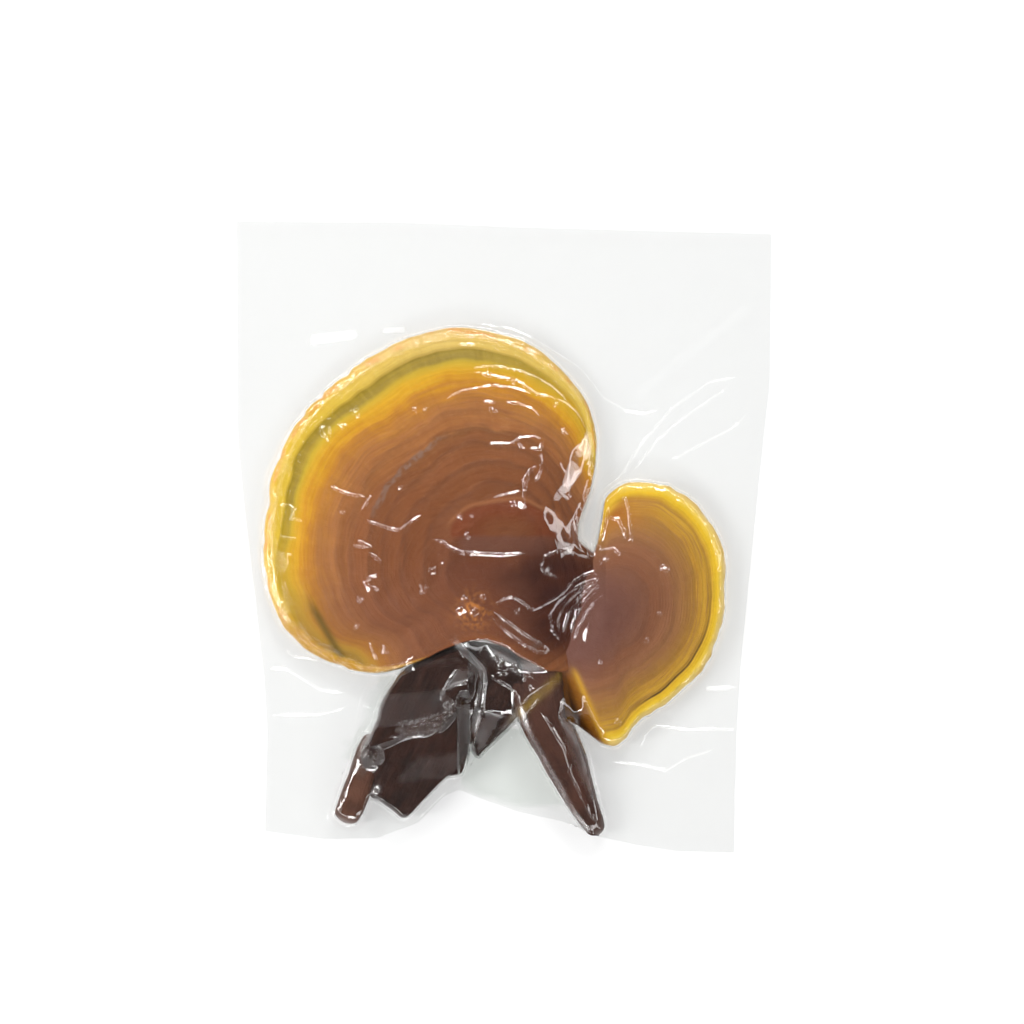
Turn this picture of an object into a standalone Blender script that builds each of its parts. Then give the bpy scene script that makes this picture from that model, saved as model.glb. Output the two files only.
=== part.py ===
"""A reishi mushroom, two fused caps on dark forked stems, in a clear vacuum bag that lies on its back film.

Constants are in millimetres and the scene in metres. X runs across the bag, Y along it, and Z is up.
The origin is on the surface that the bag rests on, under the middle of the bag.
"""

import math

import bmesh
import bpy
import numpy as np
from mathutils import Vector
from mathutils.bvhtree import BVHTree

MM = 0.001
GAP = 0.4  # clear room between two neighbouring pieces

# The bag: two films of one outline. Each edge is listed from the bag's left or bottom end
FILM = 0.3
TOP_EDGE = ((-100, 118), (-40, 117.8), (2, 116), (100, 113.3))
BOTTOM_EDGE = (
    (-89.4, -110), (-67.7, -113), (-47.4, -112.5), (-31.9, -106.7), (-22.5, -97), (-17, -94.5), (-7, -98.5),
    (5.3, -102.8), (22.5, -106.5), (36, -112), (49, -115), (64.5, -117.4), (86, -118),
)
LEFT_EDGE = ((-89.4, -110), (-88.5, -72), (-89.6, -53), (-93, -23.6), (-97, 10.7), (-99.5, 37), (-100, 118))
RIGHT_EDGE = ((86, -118), (87, -72), (88.5, -48.4), (95.6, 23.3), (99.4, 57.4), (100, 113.3))
BAG_COLUMNS, BAG_ROWS = 81, 95
SEAM_HEIGHT = 1.8  # the films' meeting height beside the mushroom
EDGE_CURL = 1.6  # how much higher the seam runs at the bag's edges
SEAM_GAP = 0.9  # between the films' middles where they meet
SUCTION = 0.3  # the pull towards the other film, against the film's own tension
RELAX_STEPS = 400
FRONT_FACE_SHARE, BACK_FACE_SHARE = 0.08, 0.028

# The large cap, which spreads from its growing point in a fan
REST_HEIGHT = 0.75  # underside of the mushroom, on the back film
LARGE_CAP_CENTRE = (6, -14)
LARGE_CAP_MARGIN = (
    (34.9, 32.6), (31.1, 49.5), (19.5, 64.3), (2.3, 75), (-21, 78), (-44.3, 70.5), (-63, 57.6), (-77, 43.3),
    (-86.3, 23.3), (-89.8, -1.9), (-87, -23.6), (-76.9, -39.8), (-61.5, -47.8),
)
LARGE_CAP_NECK = (
    (-47.4, -50.6), (-33.4, -46.9), (-13.1, -38.5), (0, -41), (18, -50), (30, -46), (38, -26), (36, -9), (27.4, 0),
    (31.9, 16.9),
)
LARGE_CAP_BEYOND = ((-50, -64), (-20, -80), (20, -72), (48, -45), (52, -15), (44, 12))  # the zones' own way round
LARGE_CAP_CROWN, LARGE_CAP_RIM = 21.0, 6.3
LARGE_CAP_TERRACES = (0.28, 0.37, 0.455, 0.53, 0.6, 0.665, 0.725, 0.78, 0.86)
TERRACE_STEP, TERRACE_WIDTH = 0.8, 0.012
GROOVE_DEPTH = 1.0  # just inside the margin
LARGE_CAP_LIP = 0.965  # share of the radius where the rounded margin's crest runs
LOBE_CENTRE, LOBE_RADII, LOBE_RISE = (0.5, -3), (24, 15.5), 3.4
KNOB_CENTRE, KNOB_RADII, KNOB_RISE = (-11.6, -27.4), (4.6, 4.6), 2.6
VALLEY_CENTRE, VALLEY_RADII, VALLEY_DEPTH = (20, -36), (11, 14), 7.0
ARCH_CENTRE, ARCH_RADII, ARCH_RISE = (-8, -48), (34, 15), 12.0  # the lip arches over the stems

# The small cap, beside it
SMALL_CAP_CENTRE = (38, -28)
SMALL_CAP_MARGIN = (
    (37.1, 12.6), (39.8, 16.9), (45, 19.9), (52, 20.7), (60, 19.4), (68, 15), (75, 8.5), (79.6, 1), (82.5, -9.4),
    (82.9, -20.3), (81.8, -31), (79, -40.5), (74.6, -49), (68.3, -55.5), (61.5, -61.5), (53.6, -66.4), (49, -70.3),
    (45, -75.8), (40.5, -78),
)
SMALL_CAP_NECK = (
    (35.6, -76.5), (30.4, -72.5), (22.8, -67.5), (20.6, -59.6), (24, -46), (27, -34), (29, -24), (33, -14), (36, -2),
    (36.8, 7.5),
)
SMALL_CAP_BEYOND = ((25, -80), (8, -66), (0, -30), (10, 5), (28, 14))
SMALL_CAP_CROWN, SMALL_CAP_RIM = 17.0, 7.2
SMALL_CAP_TERRACES = (0.36, 0.48, 0.58, 0.67, 0.75)
SMALL_CAP_LIP = 0.93
CREASE_TOP, CREASE_END = (26.6, -50.6), (38.6, -77.6)  # beyond this line the small cap folds down
CREASE_SLOPE = 1.05
CREST_CENTRE, CREST_RADII, CREST_RISE = (34, -62), (9, 16), 4.5
SMALL_ARCH_CENTRE, SMALL_ARCH_RADII, SMALL_ARCH_RISE = (24, -44), (14, 16), 7.0
CAP_LIP_RINGS, CAP_UNDER_RINGS = 4, 2
LARGE_CAP_SPOKES, SMALL_CAP_SPOKES = 44, 40

# The stems. A row holds a section's middle (x, y), its half width and its thickness
MAIN_STEM = (
    (-12, -38, 16, 9), (-15, -45, 21, 11), (-17, -52, 24.5, 13.5), (-20.5, -60, 25, 15.5), (-23.5, -68, 24.5, 16.5),
    (-27.5, -75, 21.5, 16), (-32, -80.5, 17.8, 15.5), (-34.5, -86, 14.8, 14.5), (-37, -91, 12, 13.5),
    (-38.4, -96, 9.4, 12), (-38.8, -100.5, 6.6, 9.5), (-38.2, -103.5, 3.6, 6.5),
)
STEM_SPUR = (
    (-46, -71, 3.5, 8), (-49.5, -78, 5.6, 10), (-53.3, -86, 5.6, 10), (-56.8, -94, 5.2, 9), (-59.4, -101, 4.9, 8),
    (-60.4, -105, 3.2, 6),
)
SIDE_STEM = (
    (5, -42, 7, 9), (9, -51, 8.2, 11), (12, -61, 9, 13.5), (15, -71, 9.4, 14.5), (21.5, -83, 8.6, 13.5), (27.6, -95, 7.3, 11.5),
    (32, -103, 5.4, 9), (34.3, -107.6, 2.8, 6),
)
STEM_CORNERS = 18
STEM_STEPS = 2  # sections made between two rows
STEM_SQUARENESS = 0.72
KNOT_CENTRE, KNOT_RADII, KNOT_RISE = (-46.5, -80.5), (3.6, 3.6), 2.2
RIDGE_CENTRE, RIDGE_RADII, RIDGE_RISE = (-26, -69), (13, 2.6), 1.6

# Colour, roughness
LACQUER = (0.36, 0.13, 0.045), 0.28
SMALL_LACQUER = (0.3, 0.12, 0.045), 0.28
BARK = (0.05, 0.024, 0.016), 0.35
SPUR_BARK = (0.11, 0.055, 0.042), 0.4
CLEAR_FILM = (0.9, 0.92, 0.9), 0.12


def smooth(low, high, value):
    """0 below low, 1 above high, and a soft S between them."""
    share = np.clip((value - low) / (high - low), 0.0, 1.0)
    return share * share * (3 - 2 * share)


def hill(x, y, centre, radii):
    """A soft round hill, 1 at its centre."""
    return np.exp(-(((x - centre[0]) / radii[0]) ** 2) - ((y - centre[1]) / radii[1]) ** 2)


def closed_curve(points, steps=12):
    """A smooth closed curve that passes through the points."""
    here = np.array(points, float)
    before, after, later = (np.roll(here, shift, axis=0) for shift in (1, -1, -2))
    spans = []
    for share in np.arange(steps) / steps:
        bend = 2 * before - 5 * here + 4 * after - later
        turn = 3 * here - before - 3 * after + later
        spans.append(here + 0.5 * ((after - before) * share + bend * share**2 + turn * share**3))
    return np.stack(spans, axis=1).reshape(-1, 2)


def edge_reach(edge, centre, angles):
    """The distance from the centre to the edge in each direction."""
    curve = closed_curve(edge) - centre
    directions = np.arctan2(curve[:, 1], curve[:, 0])
    order = np.argsort(directions)
    return np.interp(angles, directions[order], np.hypot(*curve.T)[order], period=2 * math.pi)


def terraces(t, steps):
    """The height lost by share t of the radius, in concentric steps."""
    return sum(TERRACE_STEP * smooth(at - TERRACE_WIDTH, at + TERRACE_WIDTH, t) for at in steps)


def large_cap_underside(x, y):
    return REST_HEIGHT + ARCH_RISE * hill(x, y, ARCH_CENTRE, ARCH_RADII)


def valley(x, y):
    """How far the growth between the two caps is sunk."""
    return VALLEY_DEPTH * hill(x, y, VALLEY_CENTRE, VALLEY_RADII)


def large_cap_top(x, y, zone):
    """The lacquered face: a terraced slope with a raised lobe, a knob and the valley between the caps."""
    slope = LARGE_CAP_RIM + (LARGE_CAP_CROWN - LARGE_CAP_RIM) * (1 - zone) ** 0.85
    steps = TERRACE_STEP * len(LARGE_CAP_TERRACES) * zone - terraces(zone, LARGE_CAP_TERRACES)
    lobe_edge = np.hypot((x - LOBE_CENTRE[0]) / LOBE_RADII[0], (y - LOBE_CENTRE[1]) / LOBE_RADII[1])
    lobe = LOBE_RISE * smooth(1.1, 0.75, lobe_edge) * smooth(-24, -8, y)
    groove = GROOVE_DEPTH * np.exp(-(((zone - 0.935) / 0.012) ** 2))
    knob = KNOB_RISE * hill(x, y, KNOB_CENTRE, KNOB_RADII)
    return REST_HEIGHT + slope + steps + lobe + knob - groove - valley(x, y)


def small_cap_underside(x, y):
    return REST_HEIGHT + SMALL_ARCH_RISE * hill(x, y, SMALL_ARCH_CENTRE, SMALL_ARCH_RADII)


def small_cap_top(x, y, zone):
    """A terraced slope that folds down sharply beyond the crease."""
    slope = SMALL_CAP_RIM + (SMALL_CAP_CROWN - SMALL_CAP_RIM) * (1 - zone) ** 0.9
    steps = TERRACE_STEP * len(SMALL_CAP_TERRACES) * zone - terraces(zone, SMALL_CAP_TERRACES)
    groove = GROOVE_DEPTH * np.exp(-(((zone - 0.86) / 0.02) ** 2))
    along = np.subtract(CREASE_END, CREASE_TOP)
    beyond = ((y - CREASE_TOP[1]) * along[0] - (x - CREASE_TOP[0]) * along[1]) / -np.hypot(*along)
    crest = CREST_RISE * hill(x, y, CREST_CENTRE, CREST_RADII)
    top = REST_HEIGHT + slope + steps + crest - groove - valley(x, y)
    return np.maximum(top - CREASE_SLOPE * np.maximum(beyond, 0), small_cap_underside(x, y) + 2.5)


def cap_mesh(name, centre, margin, neck, beyond, lip, ring_shares, top, underside, spokes):
    """A sphere drawn out to the cap's edge: rings of its top, then of its rounded margin, then of its underside."""
    shape = bmesh.new()
    rings = len(ring_shares)
    count = rings + CAP_LIP_RINGS + CAP_UNDER_RINGS
    bmesh.ops.create_uvsphere(shape, u_segments=spokes, v_segments=count, radius=1)
    points = np.array([vert.co for vert in shape.verts])
    ring = np.arccos(np.clip(points[:, 2], -1, 1)) / math.pi * count
    angle = np.arctan2(points[:, 1], points[:, 0])
    turn = np.clip((ring - rings) / CAP_LIP_RINGS, 0, 1) * math.pi
    inner = np.interp(ring, np.arange(rings + 1), (0, *ring_shares))
    under = lip * np.clip((count - ring) / CAP_UNDER_RINGS, 0, 1)
    on_margin = (ring > rings) & (turn < math.pi)
    t = np.where(ring <= rings, inner, np.where(on_margin, lip + (1 - lip) * np.sin(turn), under))
    reach = edge_reach(margin + neck, centre, angle)
    zone = np.minimum(t, lip) * reach / edge_reach(margin + beyond, centre, angle)
    x = centre[0] + reach * t * np.cos(angle)
    y = centre[1] + reach * t * np.sin(angle)
    low = underside(x, y)
    high = top(x, y, np.minimum(zone, lip))
    z = np.where(turn <= 0, high, (low + high) / 2 + (high - low) / 2 * np.cos(turn))
    for vert, place in zip(shape.verts, np.stack((x, y, z), axis=1) * MM):
        vert.co = place
    face_out(shape)
    return finished_mesh(shape, name)


def stem_mesh(name, rows):
    """Soft-cornered sections, one behind the other, closed at both ends and flat enough below to lie still."""
    rows = np.array(rows, float)
    stations = np.linspace(0, len(rows) - 1, (len(rows) - 1) * STEM_STEPS + 1)
    x, y, half, thick = (np.interp(stations, np.arange(len(rows)), column) for column in rows.T)
    heading = np.arctan2(np.gradient(y), np.gradient(x))
    shape = bmesh.new()
    bmesh.ops.create_cone(shape, segments=STEM_CORNERS, radius1=1, radius2=1, depth=1, cap_ends=True)
    lengthwise = [e for e in shape.edges if abs(e.verts[0].co.z - e.verts[1].co.z) > 0.5]
    bmesh.ops.subdivide_edges(shape, edges=lengthwise, cuts=len(stations) - 2, use_grid_fill=True)
    for vert in shape.verts:
        at = round((vert.co.z + 0.5) * (len(stations) - 1))
        across, up = vert.co.x, vert.co.y
        across = math.copysign(abs(across) ** STEM_SQUARENESS, across) * half[at]
        up = math.copysign(abs(up) ** STEM_SQUARENESS, up)
        place_x = x[at] + across * math.sin(heading[at])
        place_y = y[at] - across * math.cos(heading[at])
        place_z = REST_HEIGHT + thick[at] * (1 + up) / 2
        if up > 0:
            place_z += KNOT_RISE * hill(place_x, place_y, KNOT_CENTRE, KNOT_RADII)
            place_z += RIDGE_RISE * hill(place_x, place_y, RIDGE_CENTRE, RIDGE_RADII)
        vert.co = Vector((place_x, place_y, place_z)) * MM
    face_out(shape)
    return finished_mesh(shape, name)


def face_out(shape):
    if shape.calc_volume(signed=True) < 0:
        bmesh.ops.reverse_faces(shape, faces=shape.faces)


def finished_mesh(shape, name):
    mesh = bpy.data.meshes.new(name)
    shape.to_mesh(mesh)
    shape.free()
    mesh.shade_smooth()
    mesh.set_sharp_from_angle(angle=math.radians(50))
    return mesh


def material(name, colour, roughness):
    made = bpy.data.materials.new(name)
    made.use_nodes = True
    surface = made.node_tree.nodes["Principled BSDF"]
    surface.inputs["Base Color"].default_value = (*colour, 1)
    surface.inputs["Roughness"].default_value = roughness
    surface.inputs["Metallic"].default_value = 0
    return made


def placed(name, mesh, look, collection):
    piece = bpy.data.objects.new(name, mesh)
    mesh.materials.append(material(name + "_surface", *look))
    collection.objects.link(piece)
    return piece


def clearance(piece, cutters):
    """A hidden copy of the piece, larger by the gap all round."""
    cutter = bpy.data.objects.new(piece.name + "_clearance", piece.data.copy())
    cutters.objects.link(cutter)
    cutter.display_type = "WIRE"
    cutter.hide_render = True
    grow = cutter.modifiers.new("Gap", "DISPLACE")
    grow.strength = GAP * MM
    grow.mid_level = 0
    return cutter


def fit_round(piece, *cutters):
    for cutter in cutters:
        cut = piece.modifiers.new("Fit " + cutter.name, "BOOLEAN")
        cut.operation = "DIFFERENCE"
        cut.object = cutter


def seen_heights(pieces, x, y):
    """The mushroom's highest and lowest point over each point of the bag, or NaN where there is none."""
    bpy.context.view_layer.update()
    graph = bpy.context.evaluated_depsgraph_get()
    trees = [BVHTree.FromObject(piece, graph) for piece in pieces]
    high, low = np.full(x.shape, np.nan), np.full(x.shape, np.nan)
    for index in np.ndindex(x.shape):
        for tree in trees:
            above = tree.ray_cast(Vector((x[index], y[index], 100)) * MM, Vector((0, 0, -1)))[0]
            if above is None:
                continue
            below = tree.ray_cast(Vector((x[index], y[index], -100)) * MM, Vector((0, 0, 1)))[0]
            high[index] = np.fmax(high[index], above.z / MM)
            low[index] = np.fmin(low[index], below.z / MM)
    return high, low


def widened(values, pick):
    """Each value, or the highest or lowest of its eight neighbours."""
    padded = np.pad(values, 1, mode="edge")
    rows, columns = values.shape
    around = [padded[i : i + rows, j : j + columns] for i in range(3) for j in range(3)]
    return pick(np.stack(around), axis=0)


def bag_grid():
    """Points of the flat bag, spread evenly between its four edges."""
    across, along = np.meshgrid(np.linspace(0, 1, BAG_COLUMNS), np.linspace(0, 1, BAG_ROWS))

    def edge(points, share):
        points = np.array(points, float)
        run = np.concatenate(([0], np.cumsum(np.hypot(*np.diff(points, axis=0).T))))
        return np.stack([np.interp(share * run[-1], run, column) for column in points.T])

    def corner(points, index):
        return np.array(points[index], float).reshape(2, 1, 1)

    sides = (1 - across) * edge(LEFT_EDGE, along) + across * edge(RIGHT_EDGE, along)
    ends = (1 - along) * edge(BOTTOM_EDGE, across) + along * edge(TOP_EDGE, across)
    low_corners = (1 - across) * corner(BOTTOM_EDGE, 0) + across * corner(BOTTOM_EDGE, -1)
    high_corners = (1 - across) * corner(TOP_EDGE, 0) + across * corner(TOP_EDGE, -1)
    x, y = sides + ends - (1 - along) * low_corners - along * high_corners
    to_edge = 2 * np.minimum(np.minimum(across, 1 - across), np.minimum(along, 1 - along))
    return x, y, to_edge


def seam_height(x, y, to_edge):
    """The height where the two films meet: low beside the mushroom, in gentle waves, higher at the bag's edge."""
    waves = 0.45 * np.sin(x / 19 + 0.6) * np.cos(y / 26) + 0.3 * np.sin((x + y) / 13)
    return SEAM_HEIGHT + waves + EDGE_CURL * smooth(0.3, 0, to_edge)


def settled(height, low, high, pull):
    """A stretched film, pulled up or down until it meets low or high."""
    held = height.copy()
    for _ in range(RELAX_STEPS):
        padded = np.pad(held, 1, mode="edge")
        mean = (padded[:-2, 1:-1] + padded[2:, 1:-1] + padded[1:-1, :-2] + padded[1:-1, 2:]) / 4
        held[1:-1, 1:-1] = np.clip(mean + pull, low, high)[1:-1, 1:-1]
    return held


def film(name, x, y, z, share, collection, outward):
    """A sheet through the points, thinned to few faces and given its thickness outward."""
    shape = bmesh.new()
    bmesh.ops.create_grid(shape, x_segments=BAG_COLUMNS - 1, y_segments=BAG_ROWS - 1, size=1)
    places = np.stack((x, y, z), axis=-1) * MM
    for vert in shape.verts:
        column = round((vert.co.x + 1) / 2 * (BAG_COLUMNS - 1))
        row = round((vert.co.y + 1) / 2 * (BAG_ROWS - 1))
        vert.co = places[row, column]
    piece = placed(name, finished_mesh(shape, name), CLEAR_FILM, collection)
    thin = piece.modifiers.new("Fewer faces", "DECIMATE")
    thin.ratio = share
    wall = piece.modifiers.new("Film", "SOLIDIFY")
    wall.thickness = FILM * MM
    wall.offset = outward
    return piece


def main():
    for old in list(bpy.data.objects):
        bpy.data.objects.remove(old)
    pack = bpy.data.collections.new("Packed reishi mushroom")
    cutters = bpy.data.collections.new("Clearances")
    for collection in (pack, cutters):
        bpy.context.scene.collection.children.link(collection)
    cutters.hide_render = True

    large_rings = [at + side * TERRACE_WIDTH for at in LARGE_CAP_TERRACES for side in (-1, 1)]
    large_rings = [0.07, 0.13, 0.2, *large_rings, 0.92, 0.935, LARGE_CAP_LIP]
    small_rings = [at + side * TERRACE_WIDTH for at in SMALL_CAP_TERRACES for side in (-1, 1)]
    small_rings = [0.16, 0.26, *small_rings, 0.83, 0.86, SMALL_CAP_LIP]
    large_mesh = cap_mesh("large_cap", LARGE_CAP_CENTRE, LARGE_CAP_MARGIN, LARGE_CAP_NECK, LARGE_CAP_BEYOND,
                          LARGE_CAP_LIP, large_rings, large_cap_top, large_cap_underside, LARGE_CAP_SPOKES)
    small_mesh = cap_mesh("small_cap", SMALL_CAP_CENTRE, SMALL_CAP_MARGIN, SMALL_CAP_NECK, SMALL_CAP_BEYOND,
                          SMALL_CAP_LIP, small_rings, small_cap_top, small_cap_underside, SMALL_CAP_SPOKES)
    large_cap = placed("large_cap", large_mesh, LACQUER, pack)
    small_cap = placed("small_cap", small_mesh, SMALL_LACQUER, pack)
    main_stem = placed("main_stem", stem_mesh("main_stem", MAIN_STEM), BARK, pack)
    side_stem = placed("side_stem", stem_mesh("side_stem", SIDE_STEM), BARK, pack)
    stem_spur = placed("stem_spur", stem_mesh("stem_spur", STEM_SPUR), SPUR_BARK, pack)

    round_large, round_small = clearance(large_cap, cutters), clearance(small_cap, cutters)
    round_stem = clearance(main_stem, cutters)
    fit_round(large_cap, round_small)
    fit_round(main_stem, round_large, round_small)
    fit_round(side_stem, round_large, round_small, round_stem)
    fit_round(stem_spur, round_stem)

    mushroom = (large_cap, small_cap, main_stem, side_stem, stem_spur)
    x, y, to_edge = bag_grid()
    high, low = seen_heights(mushroom, x, y)
    seam = seam_height(x, y, to_edge)
    over = widened(np.nan_to_num(high, nan=-100), np.max) + 2 * GAP
    under = widened(np.nan_to_num(low, nan=100), np.min) - GAP - FILM
    bound = np.where(to_edge > 0, np.maximum(over, seam + SEAM_GAP), seam + SEAM_GAP)
    front = settled(bound, bound, np.full(x.shape, 100.0), -SUCTION)
    top_of_back = np.minimum(seam - FILM, under)
    back = settled(np.maximum(top_of_back, 0), np.zeros(x.shape), np.maximum(top_of_back, 0), SUCTION)
    film("front_film", x, y, front, FRONT_FACE_SHARE, pack, 1)
    film("back_film", x, y, back, BACK_FACE_SHARE, pack, 1)


main()
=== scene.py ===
"""Looks for a vacuum-packed reishi mushroom: two lacquered caps on dark forked stems, in two clear films.

Lengths in the sections are in millimetres, and every finished mesh is in metres.
"""

import math

import bmesh
import bpy
import numpy as np
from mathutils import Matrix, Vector
from mathutils.bvhtree import BVHTree


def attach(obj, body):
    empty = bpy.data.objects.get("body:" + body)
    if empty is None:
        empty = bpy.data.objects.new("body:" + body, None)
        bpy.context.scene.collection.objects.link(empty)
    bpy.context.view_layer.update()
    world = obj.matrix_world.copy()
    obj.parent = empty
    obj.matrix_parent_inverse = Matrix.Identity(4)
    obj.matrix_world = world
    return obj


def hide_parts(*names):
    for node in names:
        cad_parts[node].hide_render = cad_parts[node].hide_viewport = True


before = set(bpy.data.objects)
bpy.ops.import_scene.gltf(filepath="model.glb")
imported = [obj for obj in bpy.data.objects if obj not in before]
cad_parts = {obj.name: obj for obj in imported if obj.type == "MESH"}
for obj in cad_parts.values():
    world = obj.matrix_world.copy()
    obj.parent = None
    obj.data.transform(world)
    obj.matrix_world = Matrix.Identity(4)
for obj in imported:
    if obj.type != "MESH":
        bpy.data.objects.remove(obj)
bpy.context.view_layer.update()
MM = 0.001

# --- Large cap ---
# The larger of the mushroom's two brackets, a corky fan with a varnish-like skin. It grew
# outwards ring by ring, so its face is terraced and its last growth is a pale round margin.

REST_HEIGHT = 0.75
LARGE_CENTRE = (6, -14)
LARGE_MARGIN = (
    (34.9, 32.6), (31.1, 49.5), (19.5, 64.3), (2.3, 75), (-21, 78), (-44.3, 70.5), (-63, 57.6),
    (-77, 43.3), (-86.3, 23.3), (-89.8, -1.9), (-87, -23.6), (-76.9, -39.8), (-61.5, -47.8),
)
LARGE_NECK = (
    (-47.4, -50.6), (-33.4, -46.9), (-13.1, -38.5), (0, -41), (18, -50), (30, -46), (38, -26), (36, -9),
    (27.4, 0), (31.9, 16.9),
)
LARGE_BEYOND = ((-50, -64), (-20, -80), (20, -72), (48, -45), (52, -15), (44, 12))
LARGE_TERRACES = (0.28, 0.37, 0.455, 0.53, 0.6, 0.665, 0.725, 0.78, 0.86)
LARGE_STEP, LARGE_STEP_SHARE = 0.42, 0.022  # a terrace's drop, and half its width as a share of the radius
# The last growth is broader towards the top of the fan: direction in degrees, breadth
LARGE_BREADTH = ((-180, 1.0), (-150, 0.95), (-130, 0.95), (35, 1.25), (52, 1.05), (70, 0.85), (95, 0.74),
                 (130, 0.76), (150, 0.88), (172, 1.0), (180, 1.0))


def smooth(low, high, value):
    """0 below low, 1 above high, and a soft S between them."""
    share = np.clip((value - low) / (high - low), 0.0, 1.0)
    return share * share * (3 - 2 * share)


def hill(x, y, centre, radii):
    """A soft round hill, 1 at its centre."""
    return np.exp(-(((x - centre[0]) / radii[0]) ** 2) - ((y - centre[1]) / radii[1]) ** 2)


def ripples(x, y, length, seed):
    """Seeded unevenness of about this wavelength, mostly between -1 and 1."""
    draw = np.random.default_rng(seed)
    total = np.zeros(np.shape(x))
    for _ in range(10):
        heading, phase = draw.uniform(0, 2 * math.pi, 2)
        along = x * math.cos(heading) + y * math.sin(heading)
        total += np.sin(2 * math.pi * along / (length * draw.uniform(0.7, 1.5)) + phase)
    return total / 4


def closed_curve(points, steps=20):
    """A smooth closed curve that passes through the points."""
    here = np.array(points, float)
    before, after, later = (np.roll(here, shift, axis=0) for shift in (1, -1, -2))
    spans = []
    for share in np.arange(steps) / steps:
        bend = 2 * before - 5 * here + 4 * after - later
        turn = 3 * here - before - 3 * after + later
        spans.append(here + 0.5 * ((after - before) * share + bend * share**2 + turn * share**3))
    return np.stack(spans, axis=1).reshape(-1, 2)


def edge_reach(edge, centre, angles):
    """The distance from the centre to the edge in each direction."""
    curve = closed_curve(edge) - centre
    directions = np.arctan2(curve[:, 1], curve[:, 0])
    order = np.argsort(directions)
    return np.interp(angles, directions[order], np.hypot(*curve.T)[order], period=2 * math.pi)


def terraces(t, places, step, half):
    """How far a stepped slope differs from an even one, at share t of the radius."""
    return step * len(places) * t - sum(step * smooth(at - half, at + half, t) for at in places)


def valley(x, y):
    return 2.5 * hill(x, y, (20, -36), (15, 19))


def large_underside(x, y):
    return REST_HEIGHT + 12.0 * hill(x, y, (-8, -48), (34, 15))


def large_top(x, y, zone, tone):
    """The lacquered face: a terraced slope with a raised lobe, a knob and the valley between the caps."""
    slope = 6.3 + 14.7 * (1 - zone) ** 0.85
    steps = terraces(zone, LARGE_TERRACES, LARGE_STEP, LARGE_STEP_SHARE)
    lobe_edge = np.hypot((x - 0.5) / 24, (y + 3) / 15.5)
    lobe = 1.5 * smooth(1.3, 0.6, lobe_edge) * smooth(-26, -6, y) + 0.5 * hill(x, y, (-12, 4), (7, 4))
    groove = 0.6 * np.exp(-(((tone - 0.935) / 0.012) ** 2))
    knob = 1.1 * hill(x, y, (-11.6, -27.4), (5, 5)) * (1 + 0.25 * ripples(x, y, 3.5, 41))
    return REST_HEIGHT + slope + steps + lobe + knob - groove - valley(x, y)


def mesh_of(shape, name):
    mesh = bpy.data.meshes.new(name)
    shape.to_mesh(mesh)
    shape.free()
    return mesh


def spots_of(mesh):
    """The mesh's points as an array."""
    spots = np.empty(len(mesh.vertices) * 3, np.float32)
    mesh.vertices.foreach_get("co", spots)
    return spots.reshape(-1, 3).astype(float)


def put(mesh, x, y, z):
    """Moves the mesh's points to these places, given in millimetres, and smooths the shading."""
    mesh.vertices.foreach_set("co", (np.stack((x, y, z), axis=1) * MM).astype(np.float32).ravel())
    mesh.shade_smooth()
    mesh.update()


def mark(mesh, name, values):
    """Keeps a value, or a vector, for each point, for the material to read."""
    values = np.asarray(values, np.float32)
    kind, key = ("FLOAT_VECTOR", "vector") if values.ndim == 2 else ("FLOAT", "value")
    mesh.attributes.new(name, kind, "POINT").data.foreach_set(key, values.ravel())


def flat_body(name, spokes, top_rings, margin_rings, under_rings, lip):
    """A sphere whose rings become a top, a rounded margin from share lip of the way out, and an underside.

    It gives the mesh and, for each point, its direction, its share t of the way out, and its turn round
    the margin.
    """
    shape = bmesh.new()
    count = top_rings + margin_rings + under_rings
    bmesh.ops.create_uvsphere(shape, u_segments=spokes, v_segments=count, radius=1)
    mesh = mesh_of(shape, name)
    spots = spots_of(mesh)
    ring = np.arccos(np.clip(spots[:, 2], -1, 1)) / math.pi * count
    angle = np.arctan2(spots[:, 1], spots[:, 0])
    turn = np.clip((ring - top_rings) / margin_rings, 0, 1) * math.pi
    inner = lip * np.clip(ring / top_rings, 0, 1) ** 0.9
    under = lip * np.clip((count - ring) / under_rings, 0, 1)
    t = np.where(ring <= top_rings, inner, np.where(turn < math.pi, lip + (1 - lip) * np.sin(turn), under))
    return mesh, angle, t, turn


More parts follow.
